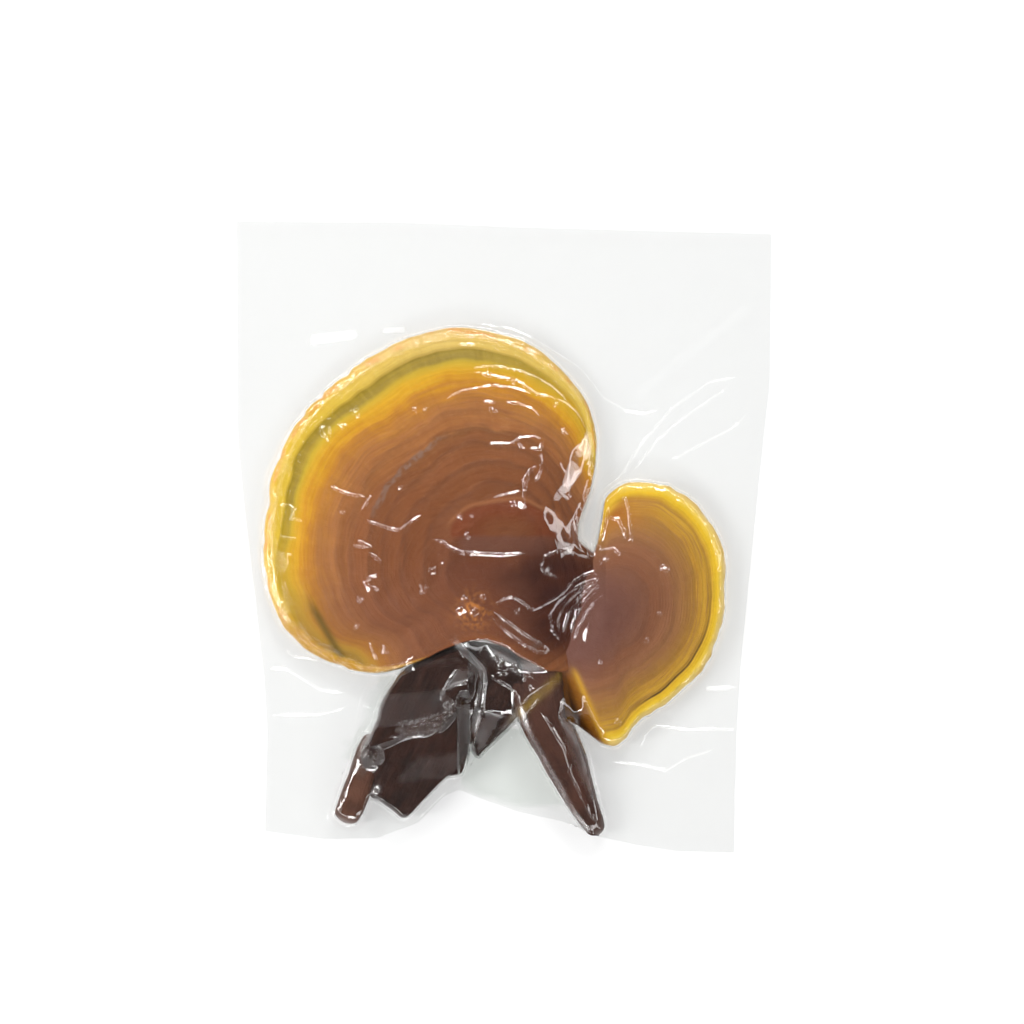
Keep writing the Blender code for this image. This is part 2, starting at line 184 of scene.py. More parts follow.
def cap_mesh(name, centre, margin, neck, beyond, lip, breadth, top, underside, seed, notches=()):
    """A cap out to its lumpy edge, with growth rings, and with the values that its material reads."""
    mesh, angle, t, turn = flat_body(name, 336, 214, 40, 30, lip)
    reach = edge_reach(margin + neck, centre, angle)
    fan = edge_reach(margin + beyond, centre, angle)
    # The edge is lumpy, with a small nick where growth stopped for a while
    rim_x, rim_y = centre[0] + reach * np.cos(angle), centre[1] + reach * np.sin(angle)
    lumps = 0.45 * ripples(rim_x, rim_y, 17, seed) + 0.22 * ripples(rim_x, rim_y, 6, seed + 1)
    nicks = sum(0.9 * hill(rim_x, rim_y, nick, (1.6, 1.6)) for nick in notches)
    reach = reach + (lumps - nicks) * smooth(0.5, 1, t)
    zone = np.minimum(t, lip) * reach / fan
    x = centre[0] + reach * t * np.cos(angle)
    y = centre[1] + reach * t * np.sin(angle)
    drift = 0.008 * ripples(x, y, 34, seed + 2) + 0.0035 * ripples(x, y, 11, seed + 3)
    spread = np.interp(np.degrees(angle), *np.array(breadth).T)
    tone = 1 - (1 - np.clip(t * reach / fan + drift * smooth(0.05, 0.3, t), 0, 1.05)) * spread
    low = underside(x, y)
    high = top(x, y, np.clip(zone + drift * smooth(0.05, 0.3, t), 0, lip), tone)
    # Fine growth rings, soft bumps, and the lumpy round margin
    rings = 0.045 * np.sin(2 * math.pi * 44 * tone) + 0.015 * np.sin(2 * math.pi * 97 * tone + 1)
    rings *= smooth(0.12, 0.4, t) * smooth(0.97, 0.93, tone) * (0.65 + 0.5 * ripples(x, y, 13, seed + 4))
    bumps = 0.2 * ripples(x, y, 10, seed + 5) + 0.03 * ripples(x, y, 3.2, seed + 6)
    swell = smooth(0.93, 0.97, tone) * (0.3 * ripples(x, y, 7, seed + 7) + 0.1 * ripples(x, y, 2.6, seed + 8))
    high = np.maximum(high + rings + bumps + swell, low + 1.6)
    z = np.where(turn <= 0, high, (low + high) / 2 + (high - low) / 2 * np.cos(turn))
    put(mesh, x, y, z)
    mark(mesh, "tone", tone)
    mark(mesh, "edge", t)
    mark(mesh, "zone", np.clip(t * reach / fan, 0, 1) + drift)
    mark(mesh, "under", smooth(0.62 * math.pi, 0.8 * math.pi, turn))
    mark(mesh, "growth", np.stack((np.cos(angle), np.sin(angle), tone), axis=1))
    return mesh


def add(tree, kind, sockets=None, **settings):
    """A node with these settings and sockets. A socket takes a value, or another node's output."""
    node = tree.nodes.new("ShaderNode" + kind)
    for key, value in settings.items():
        setattr(node, key, value)
    for socket, value in (sockets or {}).items():
        if isinstance(value, bpy.types.NodeSocket):
            tree.links.new(value, node.inputs[socket])
        else:
            node.inputs[socket].default_value = value
    return node


def maths(tree, operation, a, b=0.0):
    return add(tree, "Math", {0: a, 1: b}, operation=operation).outputs[0]


def plus(tree, a, b):
    return maths(tree, "ADD", a, b)


def times(tree, a, b):
    return maths(tree, "MULTIPLY", a, b)


def wander(tree, mask, size):
    """The mask's unevenness as a shift to either side of zero, size from end to end."""
    return times(tree, maths(tree, "SUBTRACT", mask, 0.5), size)


def remap(tree, value, low, high):
    """A soft S from 0 to 1 as the value goes from low to high."""
    sockets = {"Value": value, "From Min": low, "From Max": high}
    return add(tree, "MapRange", sockets, interpolation_type="SMOOTHSTEP").outputs[0]


def line_at(tree, value, middle, outer, inner):
    """1 where the value is within inner of the middle, and 0 where it is further off than outer."""
    off = maths(tree, "ABSOLUTE", maths(tree, "SUBTRACT", value, middle))
    return remap(tree, off, outer, inner)


def blend(tree, share, a, b, kind="MIX"):
    """Colour a, with b mixed over it by the share."""
    return add(tree, "Mix", {0: share, 6: a, 7: b}, data_type="RGBA", blend_type=kind).outputs[2]


def ramp(tree, value, stops):
    node = add(tree, "ValToRGB", {0: value})
    while len(node.color_ramp.elements) < len(stops):
        node.color_ramp.elements.new(1.0)
    for element, (at, colour) in zip(node.color_ramp.elements, stops):
        element.position = at
        element.color = (*colour, 1)
    return node.outputs[0]


def read(tree, name, output="Fac"):
    return add(tree, "Attribute", attribute_name=name).outputs[output]


def effect(name, inputs, outputs):
    """An empty node group with these sockets, and its two end nodes."""
    tree = bpy.data.node_groups.new(name, "ShaderNodeTree")
    for label, kind, value in inputs:
        socket = tree.interface.new_socket(label, in_out="INPUT", socket_type="NodeSocket" + kind)
        if value is not None:
            socket.default_value = value
    for label, kind in outputs:
        tree.interface.new_socket(label, in_out="OUTPUT", socket_type="NodeSocket" + kind)
    return tree, tree.nodes.new("NodeGroupInput"), tree.nodes.new("NodeGroupOutput")


def use(tree, group, **sockets):
    node = add(tree, "Group", node_tree=group)
    for label, value in sockets.items():
        label = label.replace("_", " ")
        if isinstance(value, bpy.types.NodeSocket):
            tree.links.new(value, node.inputs[label])
        else:
            node.inputs[label].default_value = value
    return node.outputs


def fresh_material(name):
    made = bpy.data.materials.new(name)
    made.use_nodes = True
    tree = made.node_tree
    tree.nodes.clear()
    return made, tree


def growth_streaks():
    """Streaks that run with the growth: fine rings, and rays that fan out across them."""
    tree, start, end = effect(
        "Growth streaks",
        (("Growth", "Vector", None), ("Rings", "Float", 60.0), ("Rays", "Float", 40.0)),
        (("Ring mask", "Float"), ("Ray mask", "Float")),
    )
    parts = add(tree, "SeparateXYZ", {0: start.outputs["Growth"]}).outputs

    def stretched(round_about, outward, seed):
        x, y = (times(tree, part, round_about) for part in parts[:2])
        z = plus(tree, times(tree, parts[2], outward), seed)
        place = add(tree, "CombineXYZ", {0: x, 1: y, 2: z}).outputs[0]
        noise = add(tree, "TexNoise", {"Vector": place, "Scale": 1.0, "Detail": 3.0, "Roughness": 0.6})
        return remap(tree, noise.outputs["Fac"], 0.3, 0.7)

    rings = stretched(2.5, start.outputs["Rings"], 0.0)
    rays = stretched(start.outputs["Rays"], 5.0, 7.0)
    tree.links.new(rings, end.inputs["Ring mask"])
    tree.links.new(rays, end.inputs["Ray mask"])
    return tree


def mottle():
    """Soft uneven patches of one size, given in millimetres."""
    inputs = (("Size", "Float", 5.0), ("Seed", "Float", 0.0))
    tree, start, end = effect("Mottle", inputs, (("Patches", "Float"),))
    place = add(tree, "TexCoord").outputs["Object"]
    scale = maths(tree, "DIVIDE", 1000.0, start.outputs["Size"])
    sockets = {"Vector": place, "Scale": scale, "Detail": 3.0, "Roughness": 0.55, "W": start.outputs["Seed"]}
    noise = add(tree, "TexNoise", sockets, noise_dimensions="4D")
    tree.links.new(remap(tree, noise.outputs["Fac"], 0.32, 0.68), end.inputs["Patches"])
    return tree


GROWTH_STREAKS, MOTTLE = growth_streaks(), mottle()
PORES = (0.62, 0.47, 0.25)  # the underside's pale pore layer
# The lacquered skin, from the growing point (0) to the margin (1)
LARGE_SKIN = (
    (0.0, (0.11, 0.031, 0.012)), (0.2, (0.14, 0.04, 0.015)), (0.3, (0.162, 0.05, 0.018)),
    (0.4, (0.19, 0.062, 0.021)), (0.55, (0.215, 0.073, 0.025)), (0.65, (0.245, 0.088, 0.031)),
    (0.7, (0.28, 0.107, 0.034)), (0.745, (0.36, 0.145, 0.045)), (0.79, (0.43, 0.18, 0.036)),
    (0.825, (0.52, 0.22, 0.026)), (0.85, (0.62, 0.295, 0.02)), (0.872, (0.69, 0.38, 0.022)),
    (0.9, (0.66, 0.40, 0.026)), (0.925, (0.62, 0.37, 0.03)), (0.94, (0.68, 0.48, 0.12)),
    (0.95, (0.74, 0.54, 0.17)), (0.985, (0.76, 0.53, 0.18)), (1.0, (0.74, 0.48, 0.13)),
)
# Lighter and darker growth bands: zone, brightness
LARGE_BANDS = (
    (0.2, 0.95), (0.27, 0.8), (0.285, 1.05), (0.36, 0.9), (0.372, 0.78), (0.39, 1.05), (0.44, 0.95),
    (0.458, 0.78), (0.475, 1.08), (0.51, 1.0), (0.532, 0.8), (0.545, 1.0), (0.575, 0.9), (0.595, 0.76),
    (0.605, 1.12), (0.64, 1.08), (0.665, 0.9), (0.675, 1.08), (0.72, 0.96), (0.73, 1.06), (0.775, 0.95),
    (0.79, 1.0),
)


HALF_GAIN = 0.445  # half of the lacquer's brightness, which is doubled once the bands are in


def lacquer(name, skin, bands, margin_from, tints):
    """Varnished skin coloured by growth zone, with streaks and patches. tints adds the cap's own marks."""
    made, tree = fresh_material(name)
    tone = read(tree, "tone")
    streaks = use(tree, GROWTH_STREAKS, Growth=read(tree, "growth", "Vector"), Rings=70.0, Rays=45.0)
    fine = use(tree, GROWTH_STREAKS, Growth=read(tree, "growth", "Vector"), Rings=190.0, Rays=110.0)
    patches = use(tree, MOTTLE, Size=7.0, Seed=1.0)[0]
    small = use(tree, MOTTLE, Size=1.6, Seed=2.0)[0]
    shift = plus(tree, wander(tree, streaks[0], 0.035), wander(tree, patches, 0.02))
    inside = remap(tree, tone, margin_from, margin_from - 0.12)
    colour = ramp(tree, plus(tree, tone, times(tree, shift, inside)), skin)
    zone = plus(tree, read(tree, "zone"), times(tree, shift, 0.35))
    zone = plus(tree, zone, wander(tree, streaks[1], 0.006))
    gain = ramp(tree, zone, [(at, (level * HALF_GAIN,) * 3) for at, level in bands])
    colour = blend(tree, 1.0, colour, gain, "MULTIPLY")
    colour = blend(tree, 1.0, colour, colour, "ADD")
    colour = blend(tree, times(tree, fine[0], 0.3), colour, (0.55, 0.5, 0.5, 1), "MULTIPLY")
    colour = blend(tree, times(tree, streaks[1], 0.16), colour, (0.6, 0.5, 0.45, 1), "MULTIPLY")
    colour = blend(tree, times(tree, small, 0.14), colour, (1.0, 0.75, 0.45, 1), "MULTIPLY")
    colour = tints(tree, colour, tone, streaks, fine, patches, small)
    pores = add(tree, "TexVoronoi", {"Vector": add(tree, "TexCoord").outputs["Object"], "Scale": 3200.0})
    pits = remap(tree, pores.outputs["Distance"], 0.15, 0.45)
    buff = blend(tree, pits, (0.38, 0.25, 0.12, 1), (*PORES, 1))
    colour = blend(tree, read(tree, "under"), colour, buff)
    relief = plus(tree, times(tree, fine[0], 0.6), times(tree, small, 0.7))
    relief = plus(tree, relief, times(tree, fine[1], 0.25))
    bump = add(tree, "Bump", {"Height": relief, "Strength": 0.55, "Distance": 0.00022})
    rough = plus(tree, 0.36, times(tree, small, 0.16))
    rough = plus(tree, rough, times(tree, read(tree, "under"), 0.4))
    sockets = {"Base Color": colour, "Roughness": rough, "Specular IOR Level": 0.13, "IOR": 1.45,
               "Normal": bump.outputs[0]}
    surface = add(tree, "BsdfPrincipled", sockets)
    add(tree, "OutputMaterial", {"Surface": surface.outputs[0]})
    return made


def large_tints(tree, colour, tone, streaks, fine, patches, small):
    """A purplish growth ring, an olive groove, the lobe with a painted shadow under it and a painted
    highlight on its rim, a dark neck and edge, a painted shadow streak at the lower-left lip, and glints on
    the knob.
    """
    ring = line_at(tree, plus(tree, read(tree, "zone"), wander(tree, patches, 0.01)), 0.59, 0.016, 0.005)
    broken = times(tree, read(tree, "far_side"), remap(tree, small, 0.05, 0.6))
    ring = times(tree, ring, broken)
    colour = blend(tree, times(tree, ring, 0.7), colour, (0.19, 0.115, 0.085, 1))
    inner = times(tree, remap(tree, tone, 0.875, 0.915), remap(tree, tone, 0.942, 0.936))
    inner = times(tree, inner, plus(tree, 0.6, times(tree, streaks[0], 0.5)))
    green = blend(tree, streaks[1], (0.40, 0.285, 0.025, 1), (0.47, 0.34, 0.03, 1))
    colour = blend(tree, times(tree, inner, read(tree, "olive")), colour, green)
    groove = times(tree, remap(tree, tone, 0.897, 0.917), remap(tree, tone, 0.944, 0.937))
    uneven = plus(tree, 0.75, times(tree, streaks[0], 0.3))
    groove = times(tree, groove, uneven)
    olive = blend(tree, streaks[1], (0.24, 0.165, 0.03, 1), (0.29, 0.205, 0.04, 1))
    colour = blend(tree, times(tree, groove, read(tree, "olive")), colour, olive)
    thin = line_at(tree, tone, 0.942, 0.005, 0.002)
    colour = blend(tree, times(tree, thin, 0.6), colour, (0.40, 0.27, 0.08, 1))
    warm = times(tree, read(tree, "yellow"), remap(tree, tone, 0.9, 0.94))
    colour = blend(tree, warm, colour, (0.98, 0.93, 0.2, 1), "MULTIPLY")
    rust = line_at(tree, tone, 0.988, 0.008, 0.002)
    rust = times(tree, rust, remap(tree, patches, 0.3, 0.7))
    colour = blend(tree, rust, colour, (0.62, 0.30, 0.06, 1))
    colour = blend(tree, times(tree, read(tree, "lobe"), 0.9), colour, (0.138, 0.029, 0.006, 1))
    # Painted shadow: the band under the raised lobe is painted purple-brown
    shade = times(tree, read(tree, "lobe_painted_shadow"), 0.8)
    colour = blend(tree, shade, colour, (0.115, 0.043, 0.026, 1))
    # The lobe's top rim in orange-brown: partly its own colour, partly a painted highlight
    colour = blend(tree, read(tree, "lobe_rim_and_highlight"), colour, (0.32, 0.12, 0.045, 1))
    neck = blend(tree, patches, (0.048, 0.01, 0.003, 1), (0.032, 0.005, 0.0015, 1))
    colour = blend(tree, read(tree, "neck"), colour, neck)
    colour = blend(tree, times(tree, read(tree, "brown"), 0.5), colour, (0.17, 0.06, 0.03, 1))
    colour = blend(tree, read(tree, "lower_edge"), colour, (0.19, 0.06, 0.02, 1))
    # Painted shadow: a dark olive streak along the lower-left margin, between the overlapping lips
    colour = blend(tree, read(tree, "streak"), colour, (0.09, 0.06, 0.01, 1))
    gold = blend(tree, small, (0.38, 0.18, 0.012, 1), (0.52, 0.29, 0.025, 1))
    colour = blend(tree, read(tree, "lower_lip"), colour, gold)
    glint = times(tree, read(tree, "knob"), remap(tree, small, 0.3, 0.9))
    return blend(tree, glint, colour, (0.42, 0.15, 0.03, 1))


NICKS = ((-76.1, 46.1), (-69, 52.9), (-58.1, 60.8), (-52.9, 64.5), (-89, 12), (-88, -12), (-60.4, -48.6))
large_mesh = cap_mesh("LargeCap", LARGE_CENTRE, LARGE_MARGIN, LARGE_NECK, LARGE_BEYOND, 0.965, LARGE_BREADTH,
                      large_top, large_underside, 11, NICKS)
spots = spots_of(large_mesh) / MM
x, y = spots[:, 0], spots[:, 1]
edge = np.empty(len(x), np.float32)
large_mesh.attributes["edge"].data.foreach_get("value", edge)
mark(large_mesh, "neck", smooth(27, 12, np.hypot((x - 22) * 0.8, y + 24)))
mark(large_mesh, "brown", smooth(-6, -30, y) * smooth(-88, -70, x) * smooth(16, 4, x))
mark(large_mesh, "lower_lip", smooth(0.93, 0.955, edge) * smooth(-27, -36, x) * smooth(-20, -40, y))
near_stem = smooth(-40, -25, x) * smooth(14, 2, x) * smooth(-30, -38, y)
mark(large_mesh, "lower_edge", smooth(0.86, 0.97, edge) * near_stem)
mark(large_mesh, "knob", hill(x, y, (-11.6, -27.4), (5.5, 5.5)))
direction = np.degrees(np.arctan2(y - LARGE_CENTRE[1], x - LARGE_CENTRE[0])) % 360
olive_from, olive_share = (72, 86, 98, 160, 178, 200, 215, 240), (0, 0.6, 1, 1, 0.3, 0.35, 0.6, 0)
mark(large_mesh, "olive", np.interp(direction, olive_from, olive_share))
mark(large_mesh, "yellow", np.interp(direction, (20, 45, 80, 110, 140, 250), (0, 0.8, 0.5, 0.15, 0.85, 1)))
mark(large_mesh, "far_side", np.interp(direction, (116, 126, 153, 161), (0, 1, 1, 0)))
uneven = 0.05 * ripples(x, y, 14, 43)
lobe_edge = np.hypot((x - 0.7) / 20.5, (y - 0.3) / 13.4) + uneven
mark(large_mesh, "lobe", smooth(1.03, 0.93, lobe_edge) * smooth(0.25, 0.85, lobe_edge) * smooth(-1.5, 1, y))
below_lobe = smooth(-19, -14, x) * smooth(22, 12, x)
# Painted shadow in the band under the raised lobe
mark(large_mesh, "lobe_painted_shadow", smooth(1.5, -0.5, y) * smooth(-7.5, -5.5, y) * below_lobe)
# The lobe's top rim: partly its own orange colour, partly a painted highlight
mark(large_mesh, "lobe_rim_and_highlight", 0.5 * np.exp(-(((lobe_edge - 1.07) / 0.05) ** 2)) * smooth(2, 8, y))
# The route of a painted shadow streak between the overlapping lips at the lower left
dark = ((-73.5, -21.5), (-71, -26.5), (-67.6, -32.5), (-64.2, -38.5), (-60.9, -44.6))
nearest = np.min([np.hypot(x - a, y - b) for a, b in zip(*(np.interp(np.linspace(0, 4, 60), range(5), c)
                                                            for c in zip(*dark)))], axis=0)
mark(large_mesh, "streak", 0.85 * np.exp(-((nearest / 1.5) ** 2)) * smooth(-20, -30, y))
large_cap = bpy.data.objects.new("LargeCap", large_mesh)
bpy.context.scene.collection.objects.link(large_cap)
large_mesh.materials.append(lacquer("LargeCapLacquer", LARGE_SKIN, LARGE_BANDS, 0.93, large_tints))
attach(large_cap, "root")
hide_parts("large_cap")

# --- Small cap ---
# The second bracket, fused to the first at the neck. It has the same skin and margin, and its
# near side folds down steeply to an amber face below a bright crease.

SMALL_CENTRE = (38, -28)
SMALL_MARGIN = (
    (37.1, 12.6), (39.8, 16.9), (45, 19.9), (52, 20.7), (60, 19.4), (68, 15), (75, 8.5), (79.6, 1),
    (82.5, -9.4), (82.9, -20.3), (81.8, -31), (79, -40.5), (74.6, -49), (68.3, -55.5), (61.5, -61.5),
    (53.6, -66.4), (49, -70.3), (45, -75.8), (40.5, -78),
)
SMALL_NECK = (
    (35.6, -76.5), (30.4, -72.5), (22.8, -67.5), (20.6, -59.6), (22, -46), (23, -34), (25, -24),
    (30, -14), (34.5, -2), (36.8, 7.5),
)
SMALL_BEYOND = ((25, -80), (8, -66), (0, -30), (10, 5), (28, 14))
SMALL_TERRACES = (0.36, 0.48, 0.58, 0.67, 0.75)
SMALL_BREADTH = ((-180, 1.1), (-90, 1.0), (-60, 1.0), (0, 1.0), (60, 1.0), (90, 1.0), (180, 1.1))
CREASE_TOP, CREASE_END = (26.6, -50.6), (38.6, -77.6)


def beyond_crease(x, y):
    along = np.subtract(CREASE_END, CREASE_TOP)
    return ((y - CREASE_TOP[1]) * along[0] - (x - CREASE_TOP[0]) * along[1]) / -np.hypot(*along)


def small_underside(x, y):
    return REST_HEIGHT + 7.0 * hill(x, y, (24, -44), (14, 16))


def small_top(x, y, zone, tone):
    """A terraced slope that folds down sharply beyond the crease."""
    slope = 7.2 + 9.8 * (1 - zone) ** 0.9
    steps = terraces(zone, SMALL_TERRACES, 0.3, 0.045)
    groove = 0.45 * np.exp(-(((tone - 0.865) / 0.02) ** 2))
    crest = 1.5 * hill(x, y, (36, -62), (14, 22))
    top = REST_HEIGHT + slope + steps + crest - groove - valley(x, y)
    return np.maximum(top - 1.05 * np.maximum(beyond_crease(x, y), 0), small_underside(x, y) + 2.5)


SMALL_SKIN = (
    (0.0, (0.16, 0.065, 0.045)), (0.2, (0.19, 0.077, 0.05)), (0.3, (0.215, 0.09, 0.052)),
    (0.4, (0.245, 0.095, 0.045)), (0.52, (0.295, 0.125, 0.058)), (0.62, (0.34, 0.157, 0.055)),
    (0.7, (0.405, 0.2, 0.042)), (0.76, (0.55, 0.285, 0.035)), (0.8, (0.60, 0.33, 0.036)),
    (0.84, (0.63, 0.36, 0.04)), (0.868, (0.54, 0.30, 0.035)), (0.885, (0.68, 0.41, 0.03)),
    (0.92, (0.87, 0.56, 0.025)), (0.95, (0.92, 0.65, 0.09)), (0.98, (0.93, 0.67, 0.15)),
    (1.0, (0.76, 0.48, 0.06)),
)
SMALL_BANDS = (
    (0.3, 1.0), (0.36, 0.92), (0.375, 1.02), (0.46, 0.96), (0.5, 1.03), (0.57, 0.92), (0.6, 1.04),
    (0.7, 0.98), (0.735, 0.85), (0.75, 1.05), (0.8, 0.92), (0.83, 1.04), (0.86, 1.0),
)


def small_tints(tree, colour, tone, streaks, fine, patches, small):
    """A dark line inside the lower margin, the amber folded face, darkened partly as painted shade, and the
    bright crease above it.
    """
    line = line_at(tree, tone, 0.872, 0.012, 0.005)
    line = times(tree, line, read(tree, "low_side"))
    colour = blend(tree, line, colour, (0.08, 0.045, 0.01, 1))
    bands = remap(tree, streaks[0], 0.45, 0.75)
    bands = times(tree, bands, remap(tree, tone, 0.6, 0.72))
    bands = times(tree, times(tree, bands, remap(tree, tone, 0.88, 0.84)), 0.5)
    colour = blend(tree, bands, colour, (0.27, 0.125, 0.045, 1))
    colour = blend(tree, read(tree, "orange"), colour, (0.38, 0.15, 0.032, 1))
    neck = blend(tree, patches, (0.14, 0.058, 0.043, 1), (0.12, 0.046, 0.032, 1))
    colour = blend(tree, read(tree, "neck"), colour, neck)
    colour = blend(tree, read(tree, "hook"), colour, (0.34, 0.12, 0.015, 1))
    colour = blend(tree, read(tree, "side_lip"), colour, (0.66, 0.40, 0.03, 1))
    # The folded face: its own amber colour, darkened further as painted shade where it turns down
    amber = blend(tree, fine[0], (0.19, 0.062, 0.005, 1), (0.26, 0.095, 0.008, 1))
    colour = blend(tree, read(tree, "facet"), colour, amber)
    return blend(tree, read(tree, "crease"), colour, (0.50, 0.26, 0.02, 1))


small_mesh = cap_mesh("SmallCap", SMALL_CENTRE, SMALL_MARGIN, SMALL_NECK, SMALL_BEYOND, 0.93, SMALL_BREADTH,
                      small_top, small_underside, 31)
spots = spots_of(small_mesh) / MM
x, y = spots[:, 0], spots[:, 1]
fold = beyond_crease(x, y)
mark(small_mesh, "neck", smooth(22, 8, np.hypot(x - 26, (y + 30) * 0.7)))
mark(small_mesh, "hook", hill(x, y, (42, 9), (5, 5)))
direction = np.degrees(np.arctan2(y - SMALL_CENTRE[1], x - SMALL_CENTRE[0]))
mark(small_mesh, "low_side", np.interp(direction, (-75, -60, -20, 30), (0.2, 1, 0.8, 0)))
small_tone = np.empty(len(x), np.float32)
small_mesh.attributes["tone"].data.foreach_get("value", small_tone)
outer_zone = smooth(0.6, 0.7, small_tone) * smooth(0.92, 0.87, small_tone)
mark(small_mesh, "orange", 0.45 * smooth(55, 75, direction) * outer_zone)
edge = np.empty(len(x), np.float32)
small_mesh.attributes["edge"].data.foreach_get("value", edge)
mark(small_mesh, "side_lip", smooth(0.78, 0.92, edge) * smooth(-3, 3, y) * smooth(46, 40, x))
# The folded face's mask, for its amber colour and painted shade
mark(small_mesh, "facet", smooth(0.3, 1.3, fold) * smooth(-48, -54, y))
mark(small_mesh, "crease", 0.9 * np.exp(-((fold / 1.2) ** 2)) * smooth(-47, -52, y))
small_cap = bpy.data.objects.new("SmallCap", small_mesh)
bpy.context.scene.collection.objects.link(small_cap)
small_mesh.materials.append(lacquer("SmallCapLacquer", SMALL_SKIN, SMALL_BANDS, 0.87, small_tints))
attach(small_cap, "root")
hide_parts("small_cap")

# --- Main stem ---
# The thick stalk under the caps, cut off at its foot: dark, almost black bark with lengthwise
# ridges, a knot on its left, and a rough ridge across it where a layer broke off.

MAIN_STEM_CENTRE = (-12.8, -66)
MAIN_STEM = (
    (-20, -40), (-28, -43), (-37.4, -49.3), (-41.1, -53.8), (-45.3, -60.1), (-46.9, -64.8),
    (-47.6, -68), (-50.8, -75.3), (-53.7, -80.1), (-53.6, -83), (-53.2, -86), (-52.5, -89),
    (-51.2, -93), (-49.6, -97.2), (-46.9, -98.5), (-41.6, -102.2), (-39, -104.5), (-37.4, -104.9),
    (-35.6, -104.3), (-31.1, -99.5), (-26.9, -95.1), (-22.7, -90.9), (-20.8, -89.5), (-16.9, -89),
    (-15.3, -87.4), (-14, -82.7), (-12.7, -77.5), (-11.4, -80.1), (-9.8, -82.2), (-7.9, -80.4),
    (-3, -75.6), (2.7, -70), (7, -64), (8, -54), (4, -43), (-8, -39),
)
# The large cap's edge over the stem, and the edge of the layer that broke off
CAP_EDGE = ((-47.4, -50.6), (-33.4, -46.9), (-13.1, -38.5), (0, -41), (18, -50))
TORN_EDGE = ((-50.6, -77.4), (-37.4, -73.8), (-23.2, -71.2), (-17.4, -63.5))


def main_stem_top(x, y):
    """A flat shoulder, a torn ridge with a drop below it, a lower face, and a shelf and wedge."""
    below = np.interp(x, *zip(*TORN_EDGE)) - y + 0.4 * ripples(x, y, 5, 61)
    top = 15.2 + 0.02 * (x + 30) - 0.06 * np.maximum(-below, 0)
    top -= 2.2 * smooth(0, 2.2, below) + 0.11 * np.maximum(below - 4, 0)
    torn = smooth(-8, -5, below) * smooth(2, 0, below) * smooth(-43, -37, x)
    top += torn * (0.28 * ripples(x, y, 1.5, 63) - 0.12 * (below + 8))
    side = smooth(-17.6, -16.6, x) * smooth(-56, -60, y)
    top -= side * (1.6 + 0.9 * np.clip(x + 17, 0, 4))
    wedge = 9.5 + 0.06 * (y + 66) - 4.5 * hill(x, y, (-12.4, -81), (1.2, 5))
    top = np.where(x > -13.2, np.minimum(top, wedge), top)
    top += 2.2 * hill(x, y, (-49.3, -80.8), (3.6, 3.6)) * (1 + 0.35 * ripples(x, y, 2.4, 62))
    top -= 2.5 * hill(x, y, (-49.3, -91.5), (2.2, 5))
    clear = np.maximum(np.interp(x, *zip(*CAP_EDGE)) - y - 0.4, 0)
    under_cap = large_underside(x, y) - REST_HEIGHT - 0.4 + 3 * clear
    return REST_HEIGHT + np.minimum(top + 0.2 * ripples(x, y, 9, 64), under_cap)


STEM_CORNERS, STEM_STATIONS = 120, 150
STEM_SQUARENESS = 0.5


def stem_mesh(name, rows, seed, relief=None):
    """Soft-cornered sections one behind the other, with rounded ends, lengthwise ridges and bumps."""
    rows = np.array(rows, float)
    at = np.linspace(0, len(rows) - 1, STEM_STATIONS)
    soft = np.hanning(17) / np.hanning(17).sum()

    def along(column):
        line = np.interp(at, np.arange(len(rows)), column)
        return line + np.convolve(np.pad(line, 8, mode="reflect", reflect_type="odd"), soft, "valid") - line

    x, y, half, thick = (along(column) for column in rows.T)
    run = np.concatenate(([0], np.cumsum(np.hypot(np.diff(x), np.diff(y)))))
    close = np.sqrt(1 - (1 - np.clip(np.minimum(run, run[-1] - run) / 2.5, 0.02, 1)) ** 2)
    heading = np.arctan2(np.gradient(y), np.gradient(x))
    shape = bmesh.new()
    bmesh.ops.create_cone(shape, segments=STEM_CORNERS, radius1=1, radius2=1, depth=1, cap_ends=True)
    lengthwise = [e for e in shape.edges if abs(e.verts[0].co.z - e.verts[1].co.z) > 0.5]
    bmesh.ops.subdivide_edges(shape, edges=lengthwise, cuts=STEM_STATIONS - 2, use_grid_fill=True)
    bmesh.ops.recalc_face_normals(shape, faces=shape.faces)
    mesh = mesh_of(shape, name)
    spots = spots_of(mesh)
    row = np.rint((spots[:, 2] + 0.5) * (STEM_STATIONS - 1)).astype(int)
    round_about = np.arctan2(spots[:, 1], spots[:, 0])
    across = np.copysign(np.abs(spots[:, 0]) ** STEM_SQUARENESS, spots[:, 0])
    up = np.copysign(np.abs(spots[:, 1]) ** STEM_SQUARENESS, spots[:, 1])
    girth = round_about * half[row]
    length = run[row]
    ridges = 0.2 * ripples(girth, length * 0.16, 7, seed) + 0.06 * ripples(girth, length * 0.25, 2, seed + 1)
    bumps = 0.2 * ripples(girth, length, 14, seed + 2) + 0.04 * ripples(girth, length, 3, seed + 3)
    swell = (ridges + bumps) * close[row] * smooth(-0.4, 0.2, up)
    wide = (half[row] + 0.5 * swell) * close[row]
    px = x[row] + across * wide * np.sin(heading[row])
    py = y[row] - across * wide * np.cos(heading[row])
    middle = REST_HEIGHT + thick[row] / 2
    pz = middle + up * close[row] * thick[row] / 2 + np.where(up > 0, swell * up, 0)
    if relief:
        pz = np.where(up > 0, relief(px, py, pz), pz)
    put(mesh, px, py, pz)
    grain = (np.cos(round_about) * half[row], np.sin(round_about) * half[row], length)
    mark(mesh, "grain", np.stack(grain, axis=1))
    return mesh


